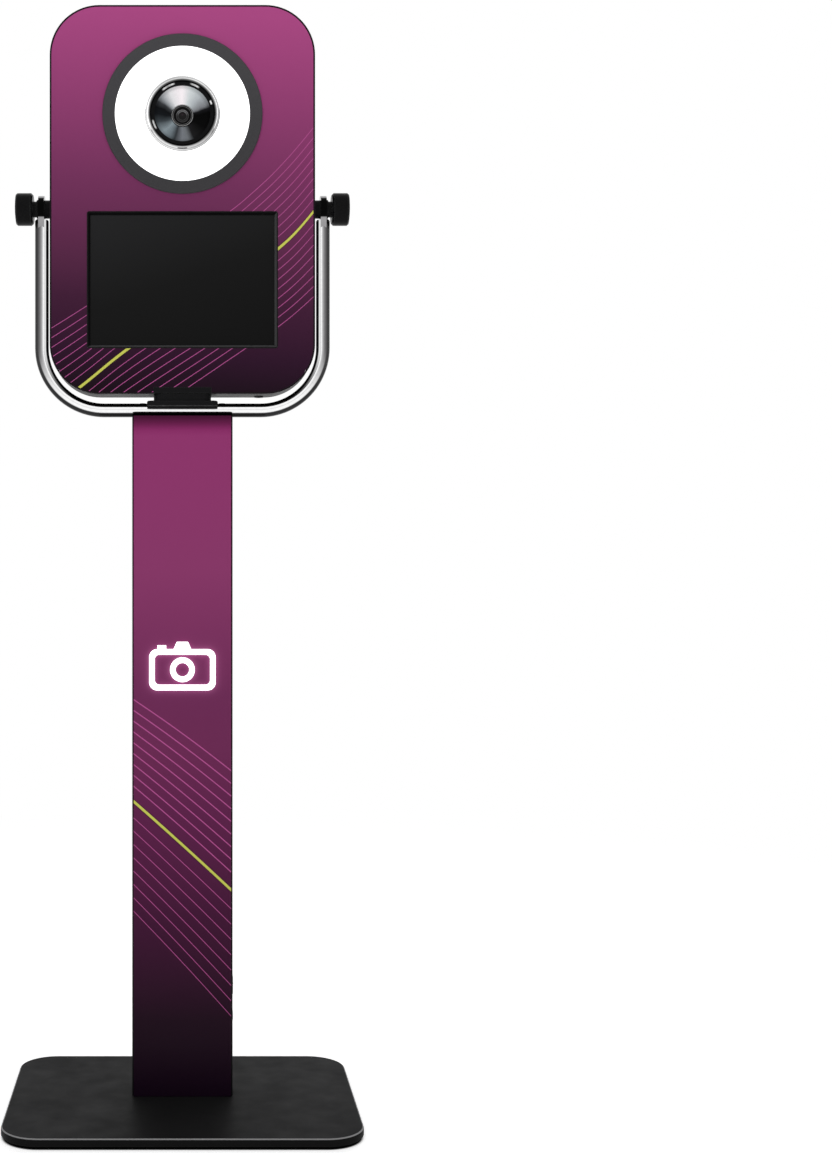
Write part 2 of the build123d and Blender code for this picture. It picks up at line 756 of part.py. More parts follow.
with BuildPart() as lens_glass:
    glass_edge = lens_glass_radius - 0.05
    with BuildSketch(Plane.XY.offset(ring_z)):
        with BuildLine():
            Line((0, glass_seat), (glass_edge, glass_seat))
            Line((glass_edge, glass_seat), (glass_edge, glass_seat - 1.6))
            TangentArc((0, glass_seat - 3.5), (glass_edge, glass_seat - 1.6), tangent=(1, 0))
            Line((0, glass_seat - 3.5), (0, glass_seat))
        make_face()
    revolve(axis=lens_axis)
finish(lens_glass, "lens_glass")

camera_width = 66.0
camera_height = 46.0
with BuildPart() as camera_body:
    with Locations((0, camera_front + camera_depth / 2, ring_z)):
        Box(camera_width, camera_depth, camera_height)
    fillet(camera_body.edges().filter_by(Axis.Y), 5.0)
finish(camera_body, "camera_body")

bracket_sheet = 2.0
bracket_leg_x = 56.0
bracket_height = 26.0
camera_back = camera_front + camera_depth
with BuildPart() as camera_bracket:
    # A hat-shaped strip behind the camera, with two feet on the back of the ring housing.
    with BuildSketch(Plane.XY.offset(ring_z - bracket_height / 2)):
        for side in (-1, 1):
            with Locations((side * (bracket_leg_x + 9), housing_back + bracket_sheet / 2)):
                Rectangle(20.0, bracket_sheet)
            with Locations((side * bracket_leg_x, (housing_back + camera_back + bracket_sheet) / 2)):
                Rectangle(bracket_sheet, camera_back + bracket_sheet - housing_back)
        with Locations((0, camera_back + bracket_sheet / 2)):
            Rectangle(2 * bracket_leg_x + bracket_sheet, bracket_sheet)
    extrude(amount=bracket_height)
finish(camera_bracket, "camera_bracket")

# ======================== screen ========================
tablet_front = face_front + 4.0
tablet_back = tablet_front + tablet_thickness
glass_thickness = 0.8
tray_sheet = 1.5
tray_lip = 5.0

with BuildPart() as screen_bezel:
    with BuildSketch(front_plane(tablet_front)):
        with Locations((0, screen_z)):
            RectangleRounded(screen_width, screen_height, screen_corner)
            Rectangle(screen_width - 2 * bezel_band, screen_height - 2 * bezel_band, mode=Mode.SUBTRACT)
    extrude(amount=tablet_front - face_front + 0.4)
    inner_front = (
        screen_bezel.faces().sort_by(Axis.Y)[0].inner_wires()[0].edges()
    )
    chamfer(inner_front, 3.2, 2.6)
finish(screen_bezel, "screen_bezel")

with BuildPart() as tablet_glass:
    with BuildSketch(front_plane(tablet_front)):
        with Locations((0, screen_z)):
            RectangleRounded(tablet_width - 2, tablet_height - 2, tablet_corner - 1)
    extrude(amount=-glass_thickness)
finish(tablet_glass, "tablet_glass")

with BuildPart() as tablet_body:
    with BuildSketch(front_plane(tablet_front + glass_thickness)):
        with Locations((0, screen_z)):
            RectangleRounded(tablet_width, tablet_height, tablet_corner)
    extrude(amount=-(tablet_thickness - glass_thickness))
    fillet(tablet_body.faces().sort_by(Axis.Y)[-1].edges(), 1.5)
finish(tablet_body, "tablet_body")

tray_width = tablet_width + 2 * tray_sheet + 1
tray_height = tablet_height + 2 * tray_sheet + 1
with BuildPart() as tablet_tray:
    with BuildSketch(front_plane(tablet_back)):
        with Locations((0, screen_z)):
            Rectangle(tray_width, tray_height)
    extrude(amount=-tray_sheet)
    # Side lips reach forward round the tablet, and ears carry the tray on the fascia.
    for side in (-1, 1):
        with Locations((side * (tray_width - tray_sheet) / 2, tablet_back - tray_lip / 2, screen_z)):
            Box(tray_sheet, tray_lip, tray_height * 0.6)
        for rise in (-0.36, 0.36):
            ear_z = screen_z + rise * tray_height
            ear_x = side * (tray_width / 2 + 5)
            ear_front = case_front
            with Locations((ear_x, tablet_back + tray_sheet / 2, ear_z)):
                Box(12.0, tray_sheet, 18.0)
            with Locations((ear_x + side * 2, (ear_front + tablet_back) / 2, ear_z)):
                Box(6.0, tablet_back - ear_front, 6.0)
    with Locations(Location((0, tablet_back, screen_z), (90, 0, 0))):
        with GridLocations(170, 120, 2, 2):
            Cylinder(20.0, 4 * tray_sheet, mode=Mode.SUBTRACT)
finish(tablet_tray, "tablet_tray")

pack_width = 170.0
pack_depth = 14.0
pack_height = 70.0
with BuildPart() as power_pack:
    with Locations((0, tablet_back + tray_sheet + pack_depth / 2, screen_z - 10)):
        Box(pack_width, pack_depth, pack_height)
    fillet(power_pack.edges().filter_by(Axis.Y), 6.0)
    fillet(power_pack.faces().sort_by(Axis.Y)[-1].edges(), 2.5)
finish(power_pack, "power_pack")

with BuildPart() as head_inlet:
    with Locations((jack_x, jack_y, head_bottom - 0.6)):
        Cylinder(5.8, 1.2)
    with Locations((jack_x, jack_y, head_bottom + 7.0)):
        Cylinder(jack_radius, 14.0)
    with Locations((jack_x, jack_y, head_bottom + 4.2)):
        Cylinder(2.8, 11.0, mode=Mode.SUBTRACT)
    with Locations((jack_x, jack_y, head_bottom + 5.5)):
        Cylinder(1.0, 11.0)
    with BuildSketch(Plane.XY.offset(head_bottom + head_wall)):
        with Locations((jack_x, jack_y)):
            RegularPolygon(6.0, 6)
            Circle(jack_radius + thread_clearance, mode=Mode.SUBTRACT)
    extrude(amount=2.5)
finish(head_inlet, "head_inlet")

# ======================== rear lights and buttons ========================
bar_flange = 3.0
with BuildPart() as light_bar_diffuser:
    with BuildSketch(front_plane(case_rear)):
        with Locations((0, light_bar_z)):
            SlotOverall(light_bar_width - 2 * fit, light_bar_height - 2 * fit)
    extrude(amount=-(panel_thickness + 0.8))
    fillet(light_bar_diffuser.faces().sort_by(Axis.Y)[-1].edges(), 0.7)
    with BuildSketch(front_plane(case_rear)):
        with Locations((0, light_bar_z)):
            SlotOverall(light_bar_width + 2 * bar_flange, light_bar_height + 2 * bar_flange)
    extrude(amount=2.0)
finish(light_bar_diffuser, "light_bar_diffuser")

channel_depth = 10.0
with BuildPart() as light_bar_housing:
    with BuildSketch(front_plane(case_rear - 2.0)):
        with Locations((0, light_bar_z)):
            SlotOverall(light_bar_width + 2 * bar_flange, light_bar_height + 2 * bar_flange)
    extrude(amount=channel_depth)
    with BuildSketch(front_plane(case_rear - 2.0)):
        with Locations((0, light_bar_z)):
            SlotOverall(light_bar_width + 2 * bar_flange - 4, light_bar_height + 2 * bar_flange - 4)
    extrude(amount=channel_depth - 2, mode=Mode.SUBTRACT)
finish(light_bar_housing, "light_bar_housing")

with BuildPart() as light_bar_board:
    strip_y = case_rear - 2.0 - (channel_depth - 2)
    with Locations((0, strip_y + board_thickness / 2, light_bar_z)):
        Box(light_bar_width - 20, board_thickness, 14.0)
    with Locations(*[(18.0 * i, strip_y + board_thickness + led_height / 2, light_bar_z) for i in range(-5, 6)]):
        Box(led_size, led_height, led_size)
finish(light_bar_board, "light_bar_board")

with BuildPart() as rear_sign:
    with BuildSketch(front_plane(face_rear)):
        with Locations((0, pivot_z - rear_sign_drop)):
            camera_icon(rear_sign_width, rear_sign_stroke)
    extrude(amount=-sign_proud)
finish(rear_sign, "rear_sign")

sign_board_stand = 7.0
with BuildPart() as rear_sign_board:
    sign_z = pivot_z - rear_sign_drop
    rear_board_y = case_rear - sign_board_stand
    with Locations((0, rear_board_y - board_thickness / 2, sign_z)):
        Box(rear_sign_width + 14, board_thickness, 118.0)
    with Locations(*[(18.0 * i, rear_board_y + led_height / 2, sign_z + 18.0 * k)
                     for i in range(-4, 5) for k in (-2, -1, 0, 1, 2)]):
        Box(led_size, led_height, led_size)
    with Locations(*[(81.0 * i, rear_board_y + sign_board_stand / 2, sign_z + 54.0 * k)
                     for i in (-1, 1) for k in (-1, 1)]):
        Box(6.0, sign_board_stand, 6.0)
finish(rear_sign_board, "rear_sign_board")

cap_radius = 7.1
cap_clearance = 0.3
cap_proud = 2.4
cap_length = 10.0
cap_back = face_rear + cap_proud - cap_length
with BuildPart() as button_housings:
    for x, z in button_spots:
        with BuildSketch(front_plane(face_rear)):
            with Locations((x, z)):
                Circle(button_bezel_radius)
        extrude(amount=-1.8)
        with BuildSketch(front_plane(face_rear)):
            with Locations((x, z)):
                Circle(button_body_radius)
        extrude(amount=22.0)
        with BuildSketch(front_plane(face_rear + 1.8)):
            with Locations((x, z)):
                Circle(cap_radius + cap_clearance)
        extrude(amount=face_rear + 1.8 - cap_back + button_travel + 0.4, mode=Mode.SUBTRACT)
        with BuildSketch(front_plane(case_rear)):
            with Locations((x, z)):
                RegularPolygon(11.5, 6)
                Circle(button_body_radius, mode=Mode.SUBTRACT)
        extrude(amount=3.0)
    fillet(button_housings.faces().group_by(Axis.Y)[-1].edges().group_by(SortBy.RADIUS)[-1], 0.9)
finish(button_housings, "button_housings")

for name, (x, z) in zip(("power_button", "light_button"), reversed(button_spots)):
    with BuildPart() as button_cap:
        with BuildSketch(front_plane(face_rear + cap_proud)):
            with Locations((x, z)):
                Circle(cap_radius)
        extrude(amount=cap_length)
        # A ring groove round the lit centre.
        with BuildSketch(front_plane(face_rear + cap_proud)):
            with Locations((x, z)):
                Circle(cap_radius - 1.9)
                Circle(cap_radius - 2.7, mode=Mode.SUBTRACT)
        extrude(amount=0.5, mode=Mode.SUBTRACT)
        rim_edges = button_cap.edges().filter_by(GeomType.CIRCLE).group_by(Axis.Y)[-1]
        fillet(rim_edges.group_by(SortBy.RADIUS)[-1], 0.5)
    finish(button_cap, name)

# ======================== tilt joint ========================
boss_inner_x = head_width / 2 - 17.0
nut_thickness = 8.0

with BuildPart() as trunnion_bosses:
    for side in (-1, 1):
        with BuildSketch(side_plane(side * head_width / 2)):
            with Locations((head_y, pivot_z)):
                Circle(boss_radius)
        extrude(amount=side * (boss_face_x - head_width / 2))
        with BuildSketch(side_plane(side * head_width / 2)):
            with Locations((head_y, pivot_z)):
                Circle(spigot_radius)
        extrude(amount=-side * (head_width / 2 - boss_inner_x))
    with Locations(Location((0, head_y, pivot_z), (0, 90, 0))):
        Cylinder(stud_radius + thread_clearance, 2 * arm_x, mode=Mode.SUBTRACT)
finish(trunnion_bosses, "trunnion_bosses")

with BuildPart() as trunnion_nuts:
    for side in (-1, 1):
        with BuildSketch(side_plane(side * frame_inner_x)):
            with Locations((head_y, pivot_z)):
                RegularPolygon(14.0, 6)
                Circle(spigot_radius + thread_clearance, mode=Mode.SUBTRACT)
        extrude(amount=-side * nut_thickness)
finish(trunnion_nuts, "trunnion_nuts")

# The shoe fills the notch in the head's bottom edge; its underside is an arc about the pivot.
with BuildPart() as tilt_shoe:
    with Locations((0, head_y, head_bottom + shoe_height / 2 - 1)):
        Box(shoe_width - 2 * fit, head_depth, shoe_height + 2)
    with Locations((0, head_y, head_bottom + head_wall + 1.75)):
        Box(shoe_plate_width, frame_depth - 1, 3.5)
    with Locations(Location((0, head_y, pivot_z), (0, 90, 0))):
        Cylinder(shoe_radius, 120.0, mode=Mode.INTERSECT)
    for spot, inward in case_screw_spots:
        if abs(spot[0]) == shoe_screw_x:
            with Locations((spot[0], spot[1], head_bottom + head_wall + 3.5)):
                Hole(case_screw_radius + thread_clearance, depth=3.5)
finish(tilt_shoe, "tilt_shoe")

# ======================== clamp knobs ========================
knob_end_x = knob_start_x + knob_neck_length + knob_length
stud_in_knob = 14.0

for side, hand in ((1, "right"), (-1, "left")):
    with BuildPart() as clamp_washer:
        with BuildSketch(side_plane(side * eye_outer_x)):
            with Locations((head_y, pivot_z)):
                Circle(washer_radius)
                Circle(stud_radius + fit, mode=Mode.SUBTRACT)
        extrude(amount=side * washer_thickness)
        chamfer(clamp_washer.edges().filter_by(GeomType.CIRCLE).group_by(SortBy.RADIUS)[-1], 0.5)
    finish(clamp_washer, f"{hand}_clamp_washer")

    with BuildPart() as clamp_knob:
        # The grip's profile, turned about the pivot: neck, back bevel, rim and domed end.
        with BuildSketch(Plane.XZ.offset(-head_y)):
            with BuildLine():
                start = side * knob_start_x
                grip = side * (knob_start_x + knob_neck_length)
                end = side * knob_end_x
                Polyline(
                    (start, pivot_z + stud_radius + thread_clearance),
                    (start, pivot_z + knob_neck_radius),
                    (grip, pivot_z + knob_neck_radius),
                    (grip, pivot_z + knob_radius - 2.5),
                    (grip + side * 2.5, pivot_z + knob_radius),
                    (end - side * 3.5, pivot_z + knob_radius),
                    (end - side * 1.5, pivot_z + knob_radius - 1.5),
                )
                TangentArc((end, pivot_z), (end - side * 1.5, pivot_z + knob_radius - 1.5), tangent=(0, 1))
                Polyline(
                    (end, pivot_z),
                    (grip + side * stud_in_knob, pivot_z),
                    (grip + side * stud_in_knob, pivot_z + stud_radius + thread_clearance),
                    (start, pivot_z + stud_radius + thread_clearance),
                )
            make_face()
        revolve(axis=pivot_axis)
    finish(clamp_knob, f"{hand}_knob")

with BuildPart() as clamp_studs:
    for side in (-1, 1):
        with BuildSketch(side_plane(side * (boss_inner_x + 2))):
            with Locations((head_y, pivot_z)):
                Circle(stud_radius)
        extrude(amount=side * (knob_start_x + knob_neck_length + stud_in_knob - boss_inner_x - 2.5))
    chamfer(clamp_studs.edges().filter_by(GeomType.CIRCLE), 0.6)
finish(clamp_studs, "clamp_studs")
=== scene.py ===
import json
from math import e, pi

import bpy
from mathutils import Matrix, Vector


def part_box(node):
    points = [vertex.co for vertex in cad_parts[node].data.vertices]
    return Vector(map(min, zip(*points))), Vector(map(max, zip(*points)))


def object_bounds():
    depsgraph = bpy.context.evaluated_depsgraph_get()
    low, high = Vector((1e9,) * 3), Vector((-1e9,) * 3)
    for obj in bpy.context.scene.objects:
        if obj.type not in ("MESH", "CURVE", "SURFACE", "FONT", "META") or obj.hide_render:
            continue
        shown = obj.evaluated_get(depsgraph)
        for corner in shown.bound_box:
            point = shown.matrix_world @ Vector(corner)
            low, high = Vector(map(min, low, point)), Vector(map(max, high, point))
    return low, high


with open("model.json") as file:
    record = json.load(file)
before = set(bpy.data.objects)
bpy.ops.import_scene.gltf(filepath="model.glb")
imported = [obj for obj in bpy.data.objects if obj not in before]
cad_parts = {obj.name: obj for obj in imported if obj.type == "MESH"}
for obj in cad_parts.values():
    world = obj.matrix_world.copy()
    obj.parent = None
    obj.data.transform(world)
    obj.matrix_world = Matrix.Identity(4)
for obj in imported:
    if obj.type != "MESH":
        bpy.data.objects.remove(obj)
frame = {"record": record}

CAD_BOX = [list(corner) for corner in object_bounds()]

# Places on the object, in metres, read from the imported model.
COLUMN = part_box("column_front_panel")
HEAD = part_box("front_fascia")
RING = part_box("ring_bezel")
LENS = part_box("lens_trim_ring")
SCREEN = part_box("screen_bezel")
LIGHT_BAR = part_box("light_bar_diffuser")
BUTTON_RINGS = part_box("button_housings")
REAR_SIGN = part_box("rear_sign")
COLUMN_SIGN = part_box("column_front_sign")
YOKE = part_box("yoke_bar")
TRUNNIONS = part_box("trunnion_bosses")
PIVOT_Z = next(joint["pos_m"][2] for joint in frame["record"]["behaviour"]["joints"]
               if joint["name"] == "head_tilt")

WHITE = (1.0, 1.0, 1.0, 1.0)
BLACK = (0.0, 0.0, 0.0, 1.0)


def middle(box, axis):
    """The middle of a box along one axis."""
    return (box[0][axis] + box[1][axis]) / 2


# ======================== camera ========================
CAMERA_DISTANCE = 2.0
CAMERA_HEIGHT = 0.672
FOCAL_SHARE = 1.362  # the focal length as a share of the picture's height
BOOTH_LEFT_OF_CENTRE = 0.2026  # as a share of the picture's height
SENSOR_HEIGHT = 36.0  # millimetres


def add_camera():
    data = bpy.data.cameras.new("camera")
    data.sensor_fit = "VERTICAL"
    data.sensor_height = SENSOR_HEIGHT
    data.lens = SENSOR_HEIGHT * FOCAL_SHARE
    data.shift_x = BOOTH_LEFT_OF_CENTRE
    data.dof.use_dof = False
    camera = bpy.data.objects.new("camera", data)
    camera.location = (0.0, -CAMERA_DISTANCE, CAMERA_HEIGHT)
    camera.rotation_euler = (pi / 2, 0.0, 0.0)
    bpy.context.scene.collection.objects.link(camera)
    bpy.context.scene.camera = camera


# ======================== colours and nodes ========================
def linear(red, green, blue):
    """A colour given as 0-255 display values, as the linear values that shaders take."""
    shares = [value / 255 for value in (red, green, blue)]
    return tuple(s / 12.92 if s <= 0.04045 else ((s + 0.055) / 1.055) ** 2.4 for s in shares) + (1.0,)


def grey(level):
    return linear(level, level, level)


def scaled(colour, factor, lift=0.0):
    """A colour made lighter or darker."""
    return tuple(min(1.0, channel * factor + lift) for channel in colour[:3]) + (1.0,)


class Tree:
    """A short way to write a node tree: most calls add a node and return its output."""

    def __init__(self, owner):
        owner.use_nodes = True
        self.nodes = owner.node_tree.nodes
        self.links = owner.node_tree.links
        self.nodes.clear()

    def feed(self, socket, value):
        if isinstance(value, bpy.types.NodeSocket):
            self.links.new(value, socket)
        else:
            socket.default_value = value

    def add(self, kind, properties=None, **inputs):
        node = self.nodes.new(kind)
        for key, value in (properties or {}).items():
            setattr(node, key, value)
        for key, value in inputs.items():
            self.feed(node.inputs[key.replace("_", " ")], value)
        return node.outputs[0]

    def math(self, operation, *values):
        node = self.nodes.new("ShaderNodeMath")
        node.operation = operation
        for socket, value in zip(node.inputs, values):
            self.feed(socket, value)
        return node.outputs[0]

    def length(self, across, up):
        """The length of a two-part vector."""
        squares = [self.math("POWER", part, 2.0) for part in (across, up)]
        return self.math("SQRT", self.math("ADD", *squares))

    def mix(self, share, first, second, blend="MIX"):
        node = self.nodes.new("ShaderNodeMix")
        node.data_type = "RGBA"
        node.blend_type = blend
        colour_a, colour_b = node.inputs[6], node.inputs[7]
        self.feed(node.inputs["Factor"], share)
        self.feed(colour_a, first)
        self.feed(colour_b, second)
        return node.outputs[2]

    def between(self, value, low, high, to_low=0.0, to_high=1.0, smooth=False):
        """A value's way from low to high, as a number from to_low to to_high."""
        node = self.nodes.new("ShaderNodeMapRange")
        node.interpolation_type = "SMOOTHSTEP" if smooth else "LINEAR"
        for socket, number in zip(node.inputs, (value, low, high, to_low, to_high)):
            self.feed(socket, number)
        return node.outputs[0]

    def coordinates(self, kind):
        """One kind of texture coordinates as separate X, Y and Z."""
        source = self.nodes.new("ShaderNodeTexCoord")
        split = self.nodes.new("ShaderNodeSeparateXYZ")
        self.links.new(source.outputs[kind], split.inputs[0])
        return split.outputs[0], split.outputs[1], split.outputs[2]

    def place(self):
        """The place on the object, in metres."""
        return self.coordinates("Object")

    def facing(self):
        """The direction that the surface faces, on the object."""
        return self.coordinates("Normal")

    def noise(self, scale, detail=2.0, stretch=(1.0, 1.0, 1.0)):
        source = self.nodes.new("ShaderNodeTexCoord")
        mapping = self.nodes.new("ShaderNodeMapping")
        mapping.inputs["Scale"].default_value = stretch
        self.links.new(source.outputs["Object"], mapping.inputs[0])
        return self.add("ShaderNodeTexNoise", Vector=mapping.outputs[0], Scale=scale, Detail=detail)

    def ramp(self, value, stops):
        """A colour ramp from a list of (place, colour), placed between the first and last place."""
        low, high = stops[0][0], stops[-1][0]
        node = self.nodes.new("ShaderNodeValToRGB")
        elements = node.color_ramp.elements
        elements[0].position, elements[0].color = 0.0, stops[0][1]
        elements[1].position, elements[1].color = 1.0, stops[-1][1]
        for place, colour in stops[1:-1]:
            elements.new((place - low) / (high - low)).color = colour
        self.links.new(self.between(value, low, high), node.inputs[0])
        return node.outputs[0]

    def guide(self, value, points):
        """A smooth curve through a few (place, height) points, in metres."""
        places = [point[0] for point in points]
        heights = [point[1] for point in points]
        low, high = min(heights), max(heights)
        spots = [((place - places[0]) / (places[-1] - places[0]), (height - low) / (high - low))
                 for place, height in points]
        node = self.nodes.new("ShaderNodeFloatCurve")
        curve = node.mapping.curves[0]
        curve.points[0].location = spots[0]
        curve.points[1].location = spots[-1]
        for spot in spots[1:-1]:
            curve.points.new(*spot)
        node.mapping.update()
        self.links.new(self.between(value, places[0], places[-1]), node.inputs["Value"])
        return self.between(node.outputs[0], 0.0, 1.0, low, high)

    def bump(self, height, strength, distance):
        return self.add("ShaderNodeBump", Height=height, Strength=strength, Distance=distance)

    def edge_highlight_mask(self, radius):
        """Near 1 on sharp edges and 0 on flat faces; it places the painted edge highlight."""
        bevel = self.add("ShaderNodeBevel", properties={"samples": 4}, Radius=radius)
        geometry = self.nodes.new("ShaderNodeNewGeometry")
        dot = self.nodes.new("ShaderNodeVectorMath")
        dot.operation = "DOT_PRODUCT"
        self.links.new(bevel, dot.inputs[0])
        self.links.new(geometry.outputs["Normal"], dot.inputs[1])
        return self.between(dot.outputs["Value"], 0.99, 0.86)

    def finish(self, shader):
        output = self.nodes.new("ShaderNodeOutputMaterial")
        self.links.new(shader, output.inputs["Surface"])


def start(name):
    """A new material and its empty tree."""
    material = bpy.data.materials.new(name)
    return material, Tree(material)


def dress(material, *names):
    """Gives a CAD node, or several, a material."""
    for name in names:
        piece = bpy.data.objects[name]
        if not piece.data.materials:
            piece.data.materials.append(material)
        for slot in piece.material_slots:
            slot.material = material


# ======================== plain finishes ========================
SMUDGE_SCALE = 9.0
BRUSH_SCALE = 300.0
BRUSH_DEPTH = 0.000008


def painted(name, colour, roughness, grain=900.0, grain_depth=0.00003, spread=0.12, edge_light=0.0,
            edge_width=0.0008, coat=0.0, specular=0.06, light_and_tint=None):
    """Paint or moulded plastic: fine grain, slow change of tone, smudges in the gloss, and a painted
    highlight along sharp edges where edge_light is set.

    The function given for the tone by place changes the tone by place; on most parts that use it, it
    paints light and shade."""
    material, tree = start(name)
    grain_map = tree.noise(grain, 3.0)
    drift = tree.between(tree.noise(SMUDGE_SCALE, 4.0), 0.3, 0.7)
    tone = tree.mix(drift, scaled(colour, 1 - spread), scaled(colour, 1 + spread))
    tone = tree.mix(tree.between(grain_map, 0.35, 0.75), tone, scaled(colour, 1.25, 0.002))
    if edge_light:
        # A painted highlight along sharp edges.
        edge = tree.math("MULTIPLY", tree.edge_highlight_mask(edge_width), edge_light)
        tone = tree.mix(edge, tone, scaled(colour, 2.0, 0.05))
    if light_and_tint:
        tone = light_and_tint(tree, tone)
    smudges = tree.noise(SMUDGE_SCALE * 3, 5.0)
    gloss = tree.between(smudges, 0.3, 0.7, roughness - 0.05, roughness + 0.07)
    tree.finish(tree.add("ShaderNodeBsdfPrincipled", Base_Color=tone, Roughness=gloss, Coat_Weight=coat,
                         Coat_Roughness=0.08, Specular_IOR_Level=specular,
                         Normal=tree.bump(grain_map, 0.6, grain_depth)))
    return material


def metal(name, colour, roughness):
    """Bare or plated metal with fine working lines and faint handling marks."""
    material, tree = start(name)
    lines = tree.noise(BRUSH_SCALE, 6.0)
    marks = tree.noise(28.0, 6.0)
    tone = tree.mix(tree.between(lines, 0.3, 0.7), scaled(colour, 0.92), colour)
    gloss = tree.math("ADD", tree.between(marks, 0.35, 0.75, roughness * 0.8, roughness * 1.5),
                      tree.between(lines, 0.3, 0.7, 0.0, roughness * 0.4))
    tree.finish(tree.add("ShaderNodeBsdfPrincipled", Base_Color=tone, Metallic=1.0, Roughness=gloss,
                         Normal=tree.bump(lines, 0.4, BRUSH_DEPTH)))
    return material


# ======================== chrome ========================
YOKE_BEND = 0.080
YOKE_BAR_RADIUS = 0.0088
YOKE_BEND_X = YOKE[1][0] - YOKE_BEND - YOKE_BAR_RADIUS
YOKE_BEND_Z = YOKE[0][2] + YOKE_BEND + YOKE_BAR_RADIUS
EYE_BAND = (TRUNNIONS[1][2] - TRUNNIONS[0][2]) / 2
EYE_EDGE = 0.0015
ARM_START = 0.02  # how far above the yoke's lowest point the tones of the arms begin
# Strength of the painted glow: the chrome gives off its tone as light where it should show a bright
# reflection.
PAINTED_GLOW_STRENGTH = 0.8  # how much of the tone glows where a neighbour blocks the room

# Painted reflection tones round the bar, by how far its surface faces the inside of the U.
BAR_PAINTED_REFLECTIONS = [
    (-1.0, linear(40, 40, 41)), (-0.50, linear(48, 48, 49)), (-0.36, grey(250)), (-0.06, grey(252)),
    (0.02, linear(222, 222, 223)), (0.10, grey(252)), (0.46, grey(252)), (0.60, linear(14, 14, 15)),
    (0.955, grey(12)), (0.975, grey(214)), (1.0, grey(236)),
]
# Painted reflection tones round the arms, by the same measure.
ARM_PAINTED_REFLECTIONS = [
    (-1.0, grey(236)), (-0.975, grey(214)), (-0.955, grey(28)), (-0.80, grey(50)),
    (-0.50, linear(72, 71, 72)), (-0.20, linear(112, 111, 112)), (0.0, linear(150, 149, 150)),
    (0.15, linear(186, 186, 187)), (0.30, grey(228)), (0.44, grey(254)), (0.62, grey(254)),
    (0.70, linear(14, 14, 15)), (1.0, linear(5, 5, 6)),
]


def chrome_plate(name, shade, waves_depth=0.00004):
    """Bright plate with faint polishing waves and handling marks.

    shade is a function that gives the tone, a painted reflection, and how much of it glows as painted
    light."""
    material, tree = start(name)
    waves = tree.noise(60.0, 3.0)
    marks = tree.noise(240.0, 7.0)
    worn = tree.mix(tree.between(marks, 0.45, 0.8), WHITE, (0.9, 0.9, 0.91, 1.0))
    gloss = tree.between(marks, 0.4, 0.8, 0.05, 0.12)
    shade_tone, painted_glow = shade(tree)
    tone = tree.mix(1.0, worn, shade_tone, "MULTIPLY")
    tree.finish(tree.add("ShaderNodeBsdfPrincipled", Base_Color=tone, Metallic=1.0, Roughness=gloss,
                         Emission_Color=tree.mix(painted_glow, BLACK, tone), Emission_Strength=PAINTED_GLOW_STRENGTH,
                         Normal=tree.bump(waves, 0.25, waves_depth)))
    return material


def inwardness(tree):
    """How far the yoke's surface faces the inside of its U: 1 is straight in, -1 straight out."""
    x, y, z = tree.place()
    facing_x, facing_y, facing_z = tree.facing()
    out_x = tree.math("MAXIMUM", tree.math("SUBTRACT", tree.math("ABSOLUTE", x), YOKE_BEND_X), 0.0)
    down_z = tree.math("MAXIMUM", tree.math("SUBTRACT", YOKE_BEND_Z, z), 0.0)
    outward = tree.math("MULTIPLY", facing_x, tree.math("SIGN", x))
    across = tree.math("MULTIPLY", outward, out_x)
    upward = tree.math("MULTIPLY", facing_z, down_z)
    length = tree.math("MAXIMUM", tree.length(out_x, down_z), 0.001)
    return tree.math("DIVIDE", tree.math("SUBTRACT", upward, across), length)


def yoke_shade(tree):
    """Painted reflection bands along the bent bar: the dark booth and floor, and the bright room, as
    chrome mirrors them; and a band painted near black at the pivot's height.
    """
    share = inwardness(tree)
    x, y, z = tree.place()
    on_arm = tree.between(z, YOKE[0][2] + ARM_START, YOKE_BEND_Z, smooth=True)
    reflection_bands = tree.mix(on_arm, tree.ramp(share, BAR_PAINTED_REFLECTIONS), tree.ramp(share, ARM_PAINTED_REFLECTIONS))
    off_pivot = tree.math("ABSOLUTE", tree.math("SUBTRACT", z, PIVOT_Z))
    eye = tree.between(off_pivot, EYE_BAND, EYE_BAND + EYE_EDGE, 1.0, 0.0)
    # The head's side blocks the room from this narrow band, which still catches light from in front; that
    # light is painted in as a glow.
    painted_glow = tree.math("MULTIPLY", tree.between(share, 0.15, 0.45, 0.1, 1.0), on_arm)
    return tree.mix(eye, reflection_bands, grey(9)), painted_glow


# ======================== lens ========================
# Tones by distance from the lens's axis, in metres. The ring's and the glass's are painted reflections.
RING_PAINTED_REFLECTIONS = [
    (0.0415, grey(60)), (0.0425, grey(130)), (0.0434, grey(226)), (0.0446, grey(250)),
    (0.0455, grey(188)), (0.0463, grey(248)), (0.0474, grey(240)), (0.0480, grey(96)),
]
BARREL_RINGS = [
    (0.0088, grey(18)), (0.0110, grey(8)), (0.0115, grey(120)), (0.0119, grey(8)),
    (0.0129, grey(10)), (0.0133, grey(205)), (0.0137, grey(20)),
]
GLASS_PAINTED_REFLECTIONS = [
    (0.0, linear(46, 36, 42)), (0.0030, linear(24, 16, 20)), (0.0050, linear(16, 12, 15)),
    (0.0055, linear(150, 150, 152)), (0.0061, linear(70, 70, 72)), (0.0070, linear(56, 56, 58)),
    (0.0076, linear(160, 160, 162)), (0.0083, linear(24, 24, 25)),
]
